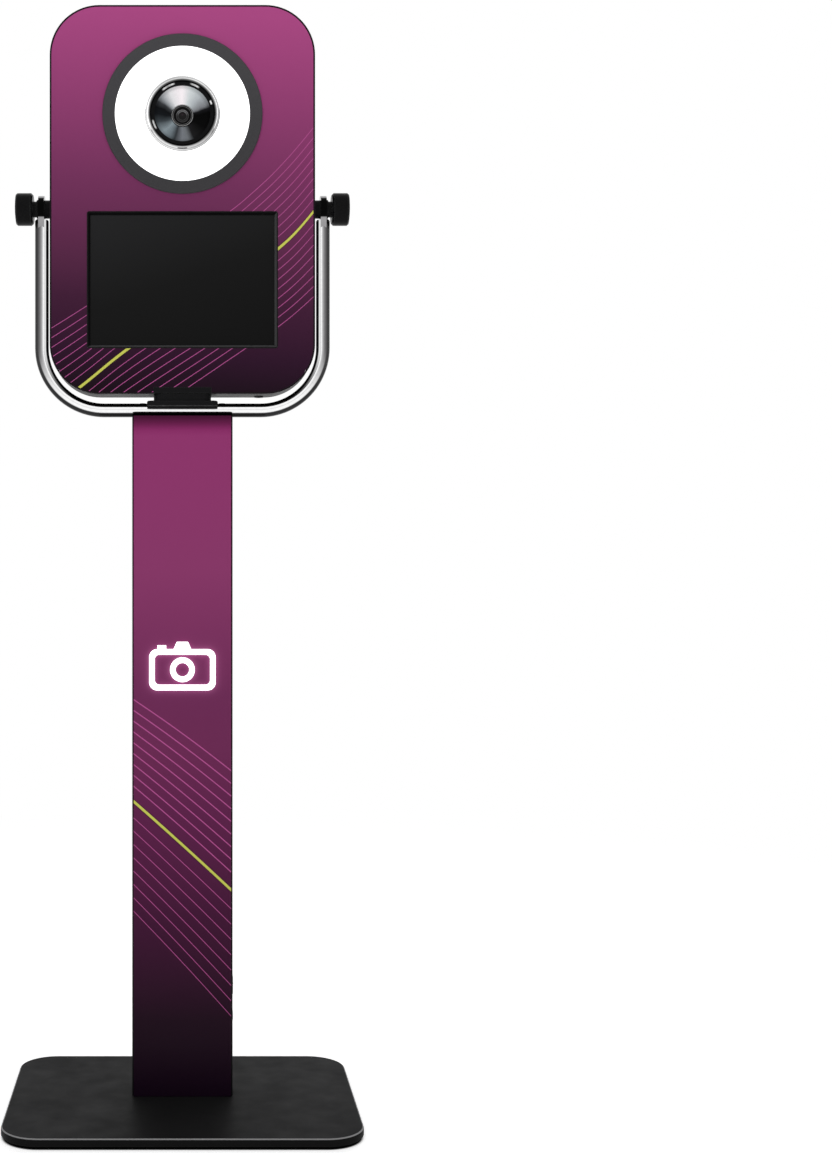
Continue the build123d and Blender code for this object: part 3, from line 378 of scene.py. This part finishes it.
# Tones by the angle round the lens's axis in degrees: 0 is on the right, 90 at the top. They paint the
# lens ring's shade, the inner ring's highlights and the dish's reflected fan of light.
RING_ROUND_SHADE = [
    (-180, grey(252)), (-110, grey(236)), (-60, grey(205)), (-20, grey(190)), (20, grey(222)),
    (60, grey(250)), (110, grey(228)), (150, grey(246)), (180, grey(252)),
]
INNER_RING_HIGHLIGHTS = [
    (-168, grey(0)), (-164, grey(220)), (-152, grey(220)), (-148, grey(0)), (16, grey(0)),
    (18, grey(250)), (23, grey(250)), (25, grey(0)), (56, grey(0)), (60, grey(235)), (72, grey(190)),
    (76, grey(0)), (104, grey(0)), (108, grey(240)), (118, grey(170)), (128, grey(235)), (132, grey(0)),
]
DISH_REFLECTED_FAN = [
    (-180, linear(24, 26, 29)), (-163, linear(60, 66, 70)), (-140, linear(132, 144, 150)),
    (-122, linear(104, 114, 120)), (-108, linear(48, 52, 55)), (-92, linear(116, 120, 126)),
    (-80, linear(108, 112, 116)), (-62, linear(30, 30, 31)), (-30, grey(12)), (2, grey(10)),
    (14, linear(26, 26, 28)), (22, linear(122, 124, 128)), (44, linear(172, 178, 182)),
    (70, linear(206, 212, 214)), (92, linear(248, 240, 244)), (122, linear(222, 222, 224)),
    (142, linear(150, 154, 158)), (153, linear(56, 58, 61)), (166, linear(20, 21, 23)),
    (180, linear(24, 26, 29)),
]
ARC_STRENGTH = 0.9
ARC_INNER_EDGE = (0.0372, 0.0378)
ARC_OUTER_EDGE = (0.0392, 0.0398)
DISH_RIM = (0.0300, 0.0345)
TURNING_PITCH = 0.0007  # from one turned line on the dish to the next
FAN_WANDER = 14.0  # degrees


def polar(tree):
    """Distance from the lens's axis, and the angle round it in degrees."""
    x, y, z = tree.place()
    up = tree.math("SUBTRACT", z, middle(LENS, 2))
    angle = tree.math("MULTIPLY", tree.math("ARCTAN2", up, x), 180 / pi)
    return tree.length(x, up), angle


def ring_shade(tree):
    """The lens ring's painted reflection: bright, with a painted grey line near its middle, a painted
    shade on its lower right, and a faint painted glow.
    """
    radius, angle = polar(tree)
    tone = tree.mix(1.0, tree.ramp(radius, RING_PAINTED_REFLECTIONS), tree.ramp(angle, RING_ROUND_SHADE), "MULTIPLY")
    return tone, 0.05


def inner_ring_highlights(tree, colour):
    """The black ring inside it, with painted highlights: the bright arcs it catches from the ring light.
    """
    radius, angle = polar(tree)
    band = tree.math("MULTIPLY", tree.between(radius, *ARC_INNER_EDGE),
                     tree.between(radius, *ARC_OUTER_EDGE, 1.0, 0.0))
    strength = tree.math("MULTIPLY", band, ARC_STRENGTH)
    return tree.mix(strength, colour, tree.ramp(angle, INNER_RING_HIGHLIGHTS), "ADD")


def barrel_tint(tree, colour):
    """Two thin bright rings round the small lens barrel, in place of the paint's own tone."""
    radius, angle = polar(tree)
    return tree.ramp(radius, BARREL_RINGS)


def turned_dish():
    """The polished dish round the lens: fine turning lines, and the fan of light they throw, painted into
    the colour as a painted reflection that dims towards the rim.
    """
    material, tree = start("turned_dish")
    radius, angle = polar(tree)
    wander = tree.math("MULTIPLY", tree.math("SUBTRACT", tree.noise(60.0, 2.0), 0.5), FAN_WANDER)
    fan = tree.ramp(tree.math("ADD", angle, wander), DISH_REFLECTED_FAN)
    rim = tree.between(radius, *DISH_RIM, 1.0, 0.72, smooth=True)
    tone = tree.mix(1.0, fan, rim, "MULTIPLY")
    lines = tree.math("SINE", tree.math("MULTIPLY", radius, 2 * pi / TURNING_PITCH))
    tree.finish(tree.add("ShaderNodeBsdfPrincipled", Base_Color=tone, Metallic=1.0, Roughness=0.24,
                         Anisotropic=0.4, Normal=tree.bump(lines, 0.25, 0.00001)))
    return material


def lens_glass():
    """Front element: dark, with two thin painted reflection arcs that are bright at the top and dimmer
    below.
    """
    material, tree = start("lens_glass_coated")
    radius, angle = polar(tree)
    rings = tree.ramp(radius, GLASS_PAINTED_REFLECTIONS)
    height = tree.math("SINE", tree.math("MULTIPLY", angle, pi / 180))
    upper = tree.between(height, 0.0, 0.75)
    tone = tree.mix(upper, tree.mix(0.85, rings, grey(16)), rings)
    dust = tree.between(tree.noise(900.0, 3.0), 0.45, 0.8, 0.10, 0.16)
    tree.finish(tree.add("ShaderNodeBsdfPrincipled", Base_Color=tone, Roughness=dust,
                         Specular_IOR_Level=0.12))
    return material


# ======================== screen ========================
SCREEN_SLANT = 0.35  # how far the tone's level rises to the left


def screen_glass():
    """Dark touch glass, paler towards its top left as a painted reflection, with finger smears in the
    gloss.
    """
    material, tree = start("screen_glass_dark")
    x, y, z = tree.place()
    level = tree.math("SUBTRACT", z, tree.math("MULTIPLY", x, SCREEN_SLANT))
    reach = SCREEN_SLANT * SCREEN[1][0]
    tone = tree.ramp(level, [(SCREEN[0][2] - reach, grey(12)), (middle(SCREEN, 2), grey(20)),
                             (SCREEN[1][2] + reach, linear(36, 36, 37))])
    smear = tree.noise(14.0, 7.0, (1.0, 1.0, 0.4))
    gloss = tree.between(smear, 0.35, 0.8, 0.12, 0.30)
    tree.finish(tree.add("ShaderNodeBsdfPrincipled", Base_Color=tone, Roughness=gloss,
                         Specular_IOR_Level=0.06))
    return material


# ======================== printed panels ========================
LINE_PINK = linear(196, 92, 158)
LINE_YELLOW = linear(204, 206, 92)
LINE_SHADOW = linear(30, 20, 10)
# A painted shadow in the gap round the rear's light bar and push buttons: its tone, and where it fades.
OPENING_SHADOW_TONE = linear(46, 18, 38)
OPENING_SHADOW_EDGE = (0.0005, 0.0013)  # where the painted shadow fades out, in metres from the part it runs round
HALO_PINK = (0.80, 0.36, 0.60, 1.0)
PINK_INK = 0.85
SHADOW_INK = 0.55
FIRST_GAP = 0.15  # the space beside the yellow line, as a share of its whole family's width
HEAD_SLANT = 0.06  # how far the head's tone level rises to the right

HALF_HEAD = HEAD[1][0]
HALF_COLUMN = COLUMN[1][0]

# Panel tones by height above the floor, in metres.
HEAD_TONES = [
    (0.905, linear(26, 12, 23)), (0.950, linear(46, 20, 41)), (0.980, linear(56, 25, 48)),
    (1.020, linear(66, 30, 55)), (1.070, linear(87, 40, 70)), (1.171, linear(117, 52, 93)),
    (1.390, linear(173, 75, 133)),
]
REAR_TONES = [
    (0.900, linear(137, 49, 104)), (1.100, linear(155, 61, 118)), (1.395, linear(166, 71, 130)),
]
# The column's print, with a painted shadow under the yoke in its top stops, above 0.850 m.
COLUMN_TONES_AND_SHADOW = [
    (0.013, linear(27, 12, 28)), (0.110, linear(37, 16, 32)), (0.240, linear(69, 24, 56)),
    (0.370, linear(97, 36, 77)), (0.455, linear(112, 45, 87)), (0.520, linear(113, 46, 89)),
    (0.680, linear(141, 59, 108)), (0.850, linear(148, 56, 112)), (0.858, linear(140, 47, 104)),
    (0.866, linear(104, 30, 75)), (0.874, linear(70, 20, 50)),
]

# Each family of lines: its upper edge, yellow line and lower edge as (x, z) guides in metres, how
# many pink lines lie above and below the yellow one, and the half widths of all three kinds.
HEAD_LINES = {
    "guides": (
        [(-HALF_HEAD, 0.987), (-0.123, 1.014), (0.063, 1.137), (0.094, 1.163), (0.123, 1.191),
         (HALF_HEAD, 1.241)],
        [(-HALF_HEAD, 0.885), (-0.130, 0.912), (-0.070, 0.960), (0.122, 1.088), (HALF_HEAD, 1.1345)],
        [(-HALF_HEAD, 0.797), (0.006, 0.911), (0.077, 0.959), (0.122, 0.989), (HALF_HEAD, 1.0265)],
    ),
    "counts": (8, 8),
    "widths": (0.00050, 0.00052, 0.0021),
}
COLUMN_LINES = {
    "guides": (
        [(-HALF_COLUMN, 0.516), (0.0, 0.473), (HALF_COLUMN, 0.426)],
        [(-HALF_COLUMN, 0.387), (0.0, 0.332), (HALF_COLUMN, 0.275)],
        [(-HALF_COLUMN, 0.248), (0.0, 0.183), (HALF_COLUMN, 0.115)],
    ),
    "counts": (9, 8),
    "widths": (0.00080, 0.00056, 0.0021),
}

# The lit signs' painted halos: the sign's box, the halo's reach in metres, and its strength.
REAR_HALO = (REAR_SIGN, 0.010, 0.36)
COLUMN_HALO = (COLUMN_SIGN, 0.0032, 0.30)

# The camera icon's proportions, as shares of half its width or of its body's height.
ICON_BODY = 0.62
ICON_CORNER = 0.2
ICON_INSET = 0.07
ICON_LENS = 0.25


def line_mask(tree, share, count, half_width, spread):
    """Thin lines at even steps of share, from FIRST_GAP to 1; spread is the family's width in metres."""
    step = (1 - FIRST_GAP) / (count - 1)
    index = tree.math("DIVIDE", tree.math("SUBTRACT", share, FIRST_GAP), step)
    nearest = tree.math("MINIMUM", tree.math("MAXIMUM", tree.math("ROUND", index), 0.0), count - 1.0)
    offset = tree.math("ABSOLUTE", tree.math("SUBTRACT", index, nearest))
    distance = tree.math("MULTIPLY", offset, tree.math("MULTIPLY", spread, step))
    return tree.between(distance, half_width * 1.25, half_width * 0.75)


def printed_lines(tree, x, z, colour, guides, counts, widths):
    """The family of lines between three guides: upper, yellow and lower."""
    upper, yellow, lower = [tree.guide(x, points) for points in guides]
    for edge, count, width in ((upper, counts[0], widths[0]), (lower, counts[1], widths[1])):
        spread = tree.math("SUBTRACT", edge, yellow)
        share = tree.math("DIVIDE", tree.math("SUBTRACT", z, yellow), spread)
        mask = line_mask(tree, share, count, width, tree.math("ABSOLUTE", spread))
        colour = tree.mix(tree.math("MULTIPLY", mask, PINK_INK), colour, LINE_PINK)
    width = widths[2]
    off = tree.math("ABSOLUTE", tree.math("SUBTRACT", z, yellow))
    shadow = tree.math("MULTIPLY", tree.between(off, width * 2.0, width * 1.2), SHADOW_INK)
    colour = tree.mix(shadow, colour, LINE_SHADOW)
    return tree.mix(tree.between(off, width * 1.15, width * 0.9), colour, LINE_YELLOW)


def icon_distance(tree, x, z, box):
    """Distance to the middle of the camera icon's strokes, in metres."""
    half_width = (box[1][0] - box[0][0]) / 2
    body_height = 2 * half_width * ICON_BODY
    body_middle = box[0][2] + body_height / 2
    corner = half_width * ICON_CORNER
    inset = half_width * ICON_INSET
    up = tree.math("SUBTRACT", z, body_middle)
    over_x = tree.math("SUBTRACT", tree.math("ABSOLUTE", x), half_width - inset - corner)
    over_z = tree.math("SUBTRACT", tree.math("ABSOLUTE", up), body_height / 2 - inset - corner)
    outside = tree.length(tree.math("MAXIMUM", over_x, 0.0), tree.math("MAXIMUM", over_z, 0.0))
    inside = tree.math("MINIMUM", tree.math("MAXIMUM", over_x, over_z), 0.0)
    rim = tree.math("ABSOLUTE", tree.math("SUBTRACT", tree.math("ADD", outside, inside), corner))
    radius = tree.length(x, up)
    lens = tree.math("ABSOLUTE", tree.math("SUBTRACT", radius, body_height * ICON_LENS))
    return tree.math("MINIMUM", rim, lens)


def halo(tree, x, z, box, reach, strength):
    """Soft light painted on the panel as a glow that falls off from a lit sign's strokes."""
    fall = tree.math("DIVIDE", icon_distance(tree, x, z, box), -reach)
    light = tree.math("MULTIPLY", tree.math("POWER", e, fall), strength)
    return tree.mix(light, BLACK, HALO_PINK)


def opening_shadows(tree, x, z):
    """The painted shadow in the gap round the light bar and round each push button."""
    side = tree.math("ABSOLUTE", x)
    bar_radius = (LIGHT_BAR[1][2] - LIGHT_BAR[0][2]) / 2
    past_end = tree.math("MAXIMUM", tree.math("SUBTRACT", side, LIGHT_BAR[1][0] - bar_radius), 0.0)
    off_bar = tree.length(past_end, tree.math("SUBTRACT", z, middle(LIGHT_BAR, 2)))
    ring_radius = (BUTTON_RINGS[1][2] - BUTTON_RINGS[0][2]) / 2
    off_axis = tree.math("SUBTRACT", side, BUTTON_RINGS[1][0] - ring_radius)
    off_ring = tree.length(off_axis, tree.math("SUBTRACT", z, middle(BUTTON_RINGS, 2)))
    off_edge = tree.math("MINIMUM", tree.math("SUBTRACT", off_bar, bar_radius),
                         tree.math("SUBTRACT", off_ring, ring_radius))
    return tree.between(off_edge, *OPENING_SHADOW_EDGE, 1.0, 0.0)


def printed(name, tones, lines=None, sign=None, slant=0.0, shadowed_openings=False):
    """Printed acrylic: a tone ramp by height, the line family, a painted shadow round the openings, and a
    painted glow round a lit sign.
    """
    material, tree = start(name)
    x, y, z = tree.place()
    level = tree.math("ADD", z, tree.math("MULTIPLY", x, slant))
    colour = tree.ramp(level, tones)
    if lines:
        colour = printed_lines(tree, x, z, colour, **lines)
    if shadowed_openings:
        colour = tree.mix(opening_shadows(tree, x, z), colour, OPENING_SHADOW_TONE)
    painted_glow = halo(tree, x, z, *sign) if sign else BLACK
    peel = tree.noise(420.0, 2.0)
    wipe = tree.noise(7.0, 6.0, (1.0, 1.0, 2.5))
    gloss = tree.between(wipe, 0.3, 0.75, 0.30, 0.42)
    tree.finish(tree.add("ShaderNodeBsdfPrincipled", Base_Color=colour, Roughness=gloss,
                         Specular_IOR_Level=0.05, Emission_Color=painted_glow,
                         Emission_Strength=1.0 if sign else 0.0,
                         Normal=tree.bump(peel, 0.15, 0.00002)))
    return material


# ======================== lit parts ========================
RING_LAMPS = 40
BAR_LAMP_PITCH = 0.018


def lit_acrylic(name, strength, spots=None):
    """Opal acrylic lit from behind; spots is a function that gives the soft pattern of its lamps."""
    material, tree = start(name)
    grain = tree.noise(700.0, 2.0)
    tone = tree.between(tree.noise(20.0, 3.0), 0.3, 0.7, 0.97, 1.0)
    brightness = tree.math("MULTIPLY", tone, strength)
    if spots:
        brightness = tree.math("MULTIPLY", brightness, spots(tree))
    tree.finish(tree.add("ShaderNodeBsdfPrincipled", Base_Color=(0.9, 0.9, 0.91, 1.0), Roughness=0.35,
                         Emission_Color=(1.0, 0.995, 1.0, 1.0), Emission_Strength=brightness,
                         Normal=tree.bump(grain, 0.2, 0.00002)))
    return material


def ring_spots(tree):
    """A soft bright patch over each lamp of the ring light."""
    x, y, z = tree.place()
    angle = tree.math("ARCTAN2", tree.math("SUBTRACT", z, middle(RING, 2)), x)
    wave = tree.math("COSINE", tree.math("MULTIPLY", angle, float(RING_LAMPS)))
    return tree.between(wave, -1.0, 1.0, 0.975, 1.0)


def bar_spots(tree):
    """A soft bright patch over each lamp of the rear light bar, dimmer along the bar's edges."""
    x, y, z = tree.place()
    wave = tree.math("COSINE", tree.math("MULTIPLY", x, 2 * pi / BAR_LAMP_PITCH))
    lengthwise = tree.between(wave, -1.0, 1.0, 0.96, 1.0)
    off = tree.math("ABSOLUTE", tree.math("SUBTRACT", z, middle(LIGHT_BAR, 2)))
    return tree.math("MULTIPLY", lengthwise, tree.between(off, 0.004, 0.012, 1.0, 0.86))


# ======================== tones of single parts ========================
# Where the painted reflection of the column in the base plate fades: sideways from the middle, and in Y,
# in metres.
REFLECTION_SIDES = (0.045, 0.10)
REFLECTION_LENGTH = (-0.165, -0.05)


def faces(tree, x_share, z_share):
    """How far a surface faces a direction in the X-Z plane."""
    facing_x, facing_y, facing_z = tree.facing()
    return tree.math("ADD", tree.math("MULTIPLY", facing_x, x_share),
                     tree.math("MULTIPLY", facing_z, z_share))


def frame_bevel_light(tree, colour):
    """The screen frame's bevels, with painted light and shade: pale where they face up and left, near
    black down and right.
    """
    lit = tree.between(faces(tree, -0.8, 1.0), 0.25, 0.6)
    shaded = tree.between(faces(tree, 0.8, -1.0), 0.25, 0.6)
    return tree.mix(shaded, tree.mix(lit, colour, linear(66, 66, 67)), grey(8))


def bezel_lit_top(tree, colour):
    """The ring light's bezel is a little paler at its top: painted light."""
    x, y, z = tree.place()
    share = tree.between(z, RING[0][2], RING[1][2], 0.0, 0.30, smooth=True)
    return tree.mix(share, colour, linear(88, 87, 90))


def base_painted_light(tree, colour):
    """Painted light and shade on the plate: its darker sides, a painted highlight along its rounded top
    edge, and a painted reflection of the column in it.
    """
    x, y, z = tree.place()
    up = faces(tree, 0.0, 1.0)
    near_x = tree.between(tree.math("ABSOLUTE", x), *REFLECTION_SIDES, 0.75, 0.0, smooth=True)
    near_y = tree.between(y, *REFLECTION_LENGTH, 0.75, 1.0, smooth=True)
    top = tree.mix(tree.math("MULTIPLY", near_x, near_y), colour, grey(26))
    body = tree.mix(tree.between(up, 0.1, 0.5), grey(17), top)
    rim = tree.math("MULTIPLY", tree.between(up, 0.35, 0.6), tree.between(up, 0.90, 0.985, 1.0, 0.0))
    return tree.mix(rim, body, linear(152, 152, 153))


# ======================== assignments ========================
def dress_paints():
    dress(painted("base_powder_coat", linear(18, 18, 19), 0.5, 1500.0, 0.00006, spread=0.05,
                  edge_light=1.0, edge_width=0.002, specular=0.032, light_and_tint=base_painted_light), "base_plate")
    dress(painted("black_satin", linear(17, 16, 18), 0.4, 1300.0, 0.00003, edge_light=0.4),
          "column_shell", "column_foot", "column_top_plate", "head_frame")
    dress(painted("edge_strip", linear(20, 12, 18), 0.35, edge_light=0.25), "edge_trims")
    dress(painted("bezel_grey", linear(59, 58, 60), 0.48, 1200.0, 0.00003, spread=0.05,
                  edge_light=0.15, light_and_tint=bezel_lit_top), "ring_bezel")
    dress(painted("black_moulding", linear(15, 15, 16), 0.42, 800.0, 0.00004, edge_light=0.5),
          "tilt_shoe", "tilt_saddle", "head_inlet", "column_inlet", "column_switch_body", "camera_body")
    dress(painted("black_oxide", linear(10, 10, 11), 0.34, 900.0, 0.00002, edge_light=0.4, specular=0.05),
          "yoke_screws", "case_screws", "trunnion_bosses", "left_clamp_washer", "right_clamp_washer")
    dress(painted("black_nylon", grey(22), 0.5), "friction_washers")
    dress(painted("phenolic_black", linear(9, 9, 10), 0.28, 500.0, 0.00002, edge_light=0.7,
                  edge_width=0.0015, coat=0.04, specular=0.04), "left_knob", "right_knob")
    dress(painted("piano_black", linear(8, 8, 9), 0.12, 300.0, 0.000003, spread=0.05,
                  light_and_tint=inner_ring_highlights), "lens_inner_ring")
    dress(painted("lens_black", linear(20, 20, 22), 0.3, 1500.0, 0.00001, light_and_tint=barrel_tint),
          "lens_barrel")
    dress(painted("screen_frame", grey(14), 0.3, 900.0, 0.00002, edge_light=0.5, light_and_tint=frame_bevel_light),
          "screen_bezel")
    dress(painted("rubber_black", grey(24), 0.75, 600.0, 0.00008), "base_feet")
    dress(painted("cable_jacket", grey(20), 0.55), "column_wiring")
    dress(painted("battery_case", linear(38, 38, 40), 0.5), "column_battery", "power_pack")
    dress(painted("rocker_red", linear(150, 24, 20), 0.25, 500.0, 0.00001, coat=0.3),
          "column_switch_rocker")
    dress(painted("white_reflector", grey(225), 0.5), "ring_housing", "light_bar_housing")
    dress(painted("board_white", linear(205, 210, 200), 0.4, 300.0), "ring_led_board",
          "light_bar_board", "rear_sign_board", "column_sign_boards")


def dress_metals():
    dress(chrome_plate("yoke_chrome", yoke_shade), "yoke_bar")
    dress(chrome_plate("lens_ring_chrome", ring_shade, 0.00001), "lens_trim_ring")
    dress(metal("zinc_plate", (0.58, 0.58, 0.6, 1.0), 0.28), "base_bolts", "saddle_bolt",
          "panel_blocks", "camera_bracket", "tablet_tray", "trunnion_nuts", "clamp_studs")
    dress(metal("turned_steel", (0.50, 0.50, 0.51, 1.0), 0.2), "button_housings")
    dress(metal("tablet_shell", (0.45, 0.46, 0.48, 1.0), 0.32), "tablet_body")
    dress(turned_dish(), "lens_dish")


def dress_prints():
    dress(printed("head_print", HEAD_TONES, HEAD_LINES, slant=HEAD_SLANT), "front_fascia")
    dress(printed("rear_print", REAR_TONES, sign=REAR_HALO, shadowed_openings=True), "rear_cover")
    for side in ("front", "rear"):
        dress(printed(f"column_{side}_print", COLUMN_TONES_AND_SHADOW, COLUMN_LINES, COLUMN_HALO),
              f"column_{side}_panel")


def dress_lit_parts():
    dress(lit_acrylic("ring_opal", 1.6, ring_spots), "ring_diffuser")
    dress(lit_acrylic("bar_opal", 0.06, bar_spots), "light_bar_diffuser")
    dress(lit_acrylic("sign_opal", 1.6), "rear_sign", "column_front_sign", "column_rear_sign")
    dress(lit_acrylic("button_opal", 0.02), "power_button", "light_button")


def dress_glass():
    dress(screen_glass(), "tablet_glass")
    dress(lens_glass(), "lens_glass")


# ======================== stage and light ========================
FLOOR_RADIUS = 40.0
FLOOR_DROP = 0.0005  # keeps the floor just under the rubber feet
FLOOR_GLOW = 0.58
FLOOR_FADE = (0.7, 2.4)  # where the floor turns into the backdrop, in metres from the booth
BASE_CORNER = 0.048
BASE_SHADOW_EDGE = 0.003

# Each softbox: place, the point it aims at, size, and power in watts. None shows in reflections.
SOFTBOXES = {
    "key_front": ((-1.2, -3.0, 2.6), (0.0, 0.0, 0.8), (1.6, 2.0), 26.0),
    "fill_front": ((1.6, -2.8, 1.6), (0.0, 0.0, 0.8), (1.4, 2.2), 9.0),
    "key_rear": ((1.2, 3.0, 2.6), (0.0, 0.0, 0.8), (1.6, 2.0), 26.0),
    "fill_rear": ((-1.6, 2.8, 1.6), (0.0, 0.0, 0.8), (1.4, 2.2), 9.0),
    "top": ((0.0, 0.0, 3.2), (0.0, 0.0, 0.0), (2.2, 2.2), 22.0),
}


def floor_material():
    """A pale floor that glows a little, turns into the white backdrop, and has a painted shadow under the
    plate.
    """
    material, tree = start("floor_pale")
    x, y, z = tree.place()
    past_x = tree.math("SUBTRACT", tree.math("ABSOLUTE", x), CAD_BOX[1][0] - BASE_CORNER)
    past_y = tree.math("SUBTRACT", tree.math("ABSOLUTE", y), CAD_BOX[1][1] - BASE_CORNER)
    off_corner = tree.length(tree.math("MAXIMUM", past_x, 0.0), tree.math("MAXIMUM", past_y, 0.0))
    open_floor = tree.between(off_corner, BASE_CORNER - BASE_SHADOW_EDGE, BASE_CORNER)
    drift = tree.between(tree.noise(1.5, 3.0), 0.3, 0.7)
    pale = tree.mix(drift, (0.86, 0.86, 0.865, 1.0), (0.88, 0.88, 0.885, 1.0))
    near = tree.add("ShaderNodeBsdfPrincipled", Base_Color=tree.mix(open_floor, grey(30), pale),
                    Roughness=0.6, Specular_IOR_Level=0.1, Emission_Color=WHITE,
                    Emission_Strength=tree.math("MULTIPLY", open_floor, FLOOR_GLOW))
    far = tree.add("ShaderNodeEmission", Color=WHITE, Strength=1.0)
    mixed = tree.nodes.new("ShaderNodeMixShader")
    tree.links.new(tree.between(tree.length(x, y), *FLOOR_FADE, smooth=True), mixed.inputs[0])
    tree.links.new(near, mixed.inputs[1])
    tree.links.new(far, mixed.inputs[2])
    tree.finish(mixed.outputs[0])
    return material


def add_floor():
    bpy.ops.mesh.primitive_circle_add(vertices=96, radius=FLOOR_RADIUS, fill_type="NGON",
                                      location=(0.0, 0.0, -FLOOR_DROP))
    floor = bpy.context.object
    floor.name = "floor"
    floor.data.materials.append(floor_material())


def add_world():
    """A pale room: dim as a light, bright in mirror reflections, and white behind the booth."""
    world = bpy.data.worlds.new("studio")
    bpy.context.scene.world = world
    tree = Tree(world)
    x, y, z = tree.coordinates("Generated")
    ends = tree.math("ABSOLUTE", y)
    room = tree.between(ends, 0.2, 0.6, 0.10, 0.26, smooth=True)
    mirror = tree.between(ends, 0.0, 0.4, 0.75, 0.98, smooth=True)
    path = tree.nodes.new("ShaderNodeLightPath")
    brightness = tree.mix(path.outputs["Is Glossy Ray"], room, mirror)
    seen = tree.mix(path.outputs["Is Camera Ray"], brightness, WHITE)
    background = tree.add("ShaderNodeBackground", Color=seen, Strength=1.0)
    output = tree.nodes.new("ShaderNodeOutputWorld")
    tree.links.new(background, output.inputs[0])


def add_softbox(name, place, target, size, power):
    data = bpy.data.lights.new(name, "AREA")
    data.shape = "RECTANGLE"
    data.size, data.size_y = size
    data.energy = power
    light = bpy.data.objects.new(name, data)
    light.visible_glossy = False
    light.location = place
    light.rotation_euler = (Vector(target) - Vector(place)).to_track_quat("-Z", "Y").to_euler()
    bpy.context.scene.collection.objects.link(light)


bpy.context.scene.view_settings.view_transform = "Standard"
add_camera()
dress_paints()
dress_metals()
dress_prints()
dress_lit_parts()
dress_glass()
add_floor()
add_world()
for softbox, settings in SOFTBOXES.items():
    add_softbox(softbox, *settings)
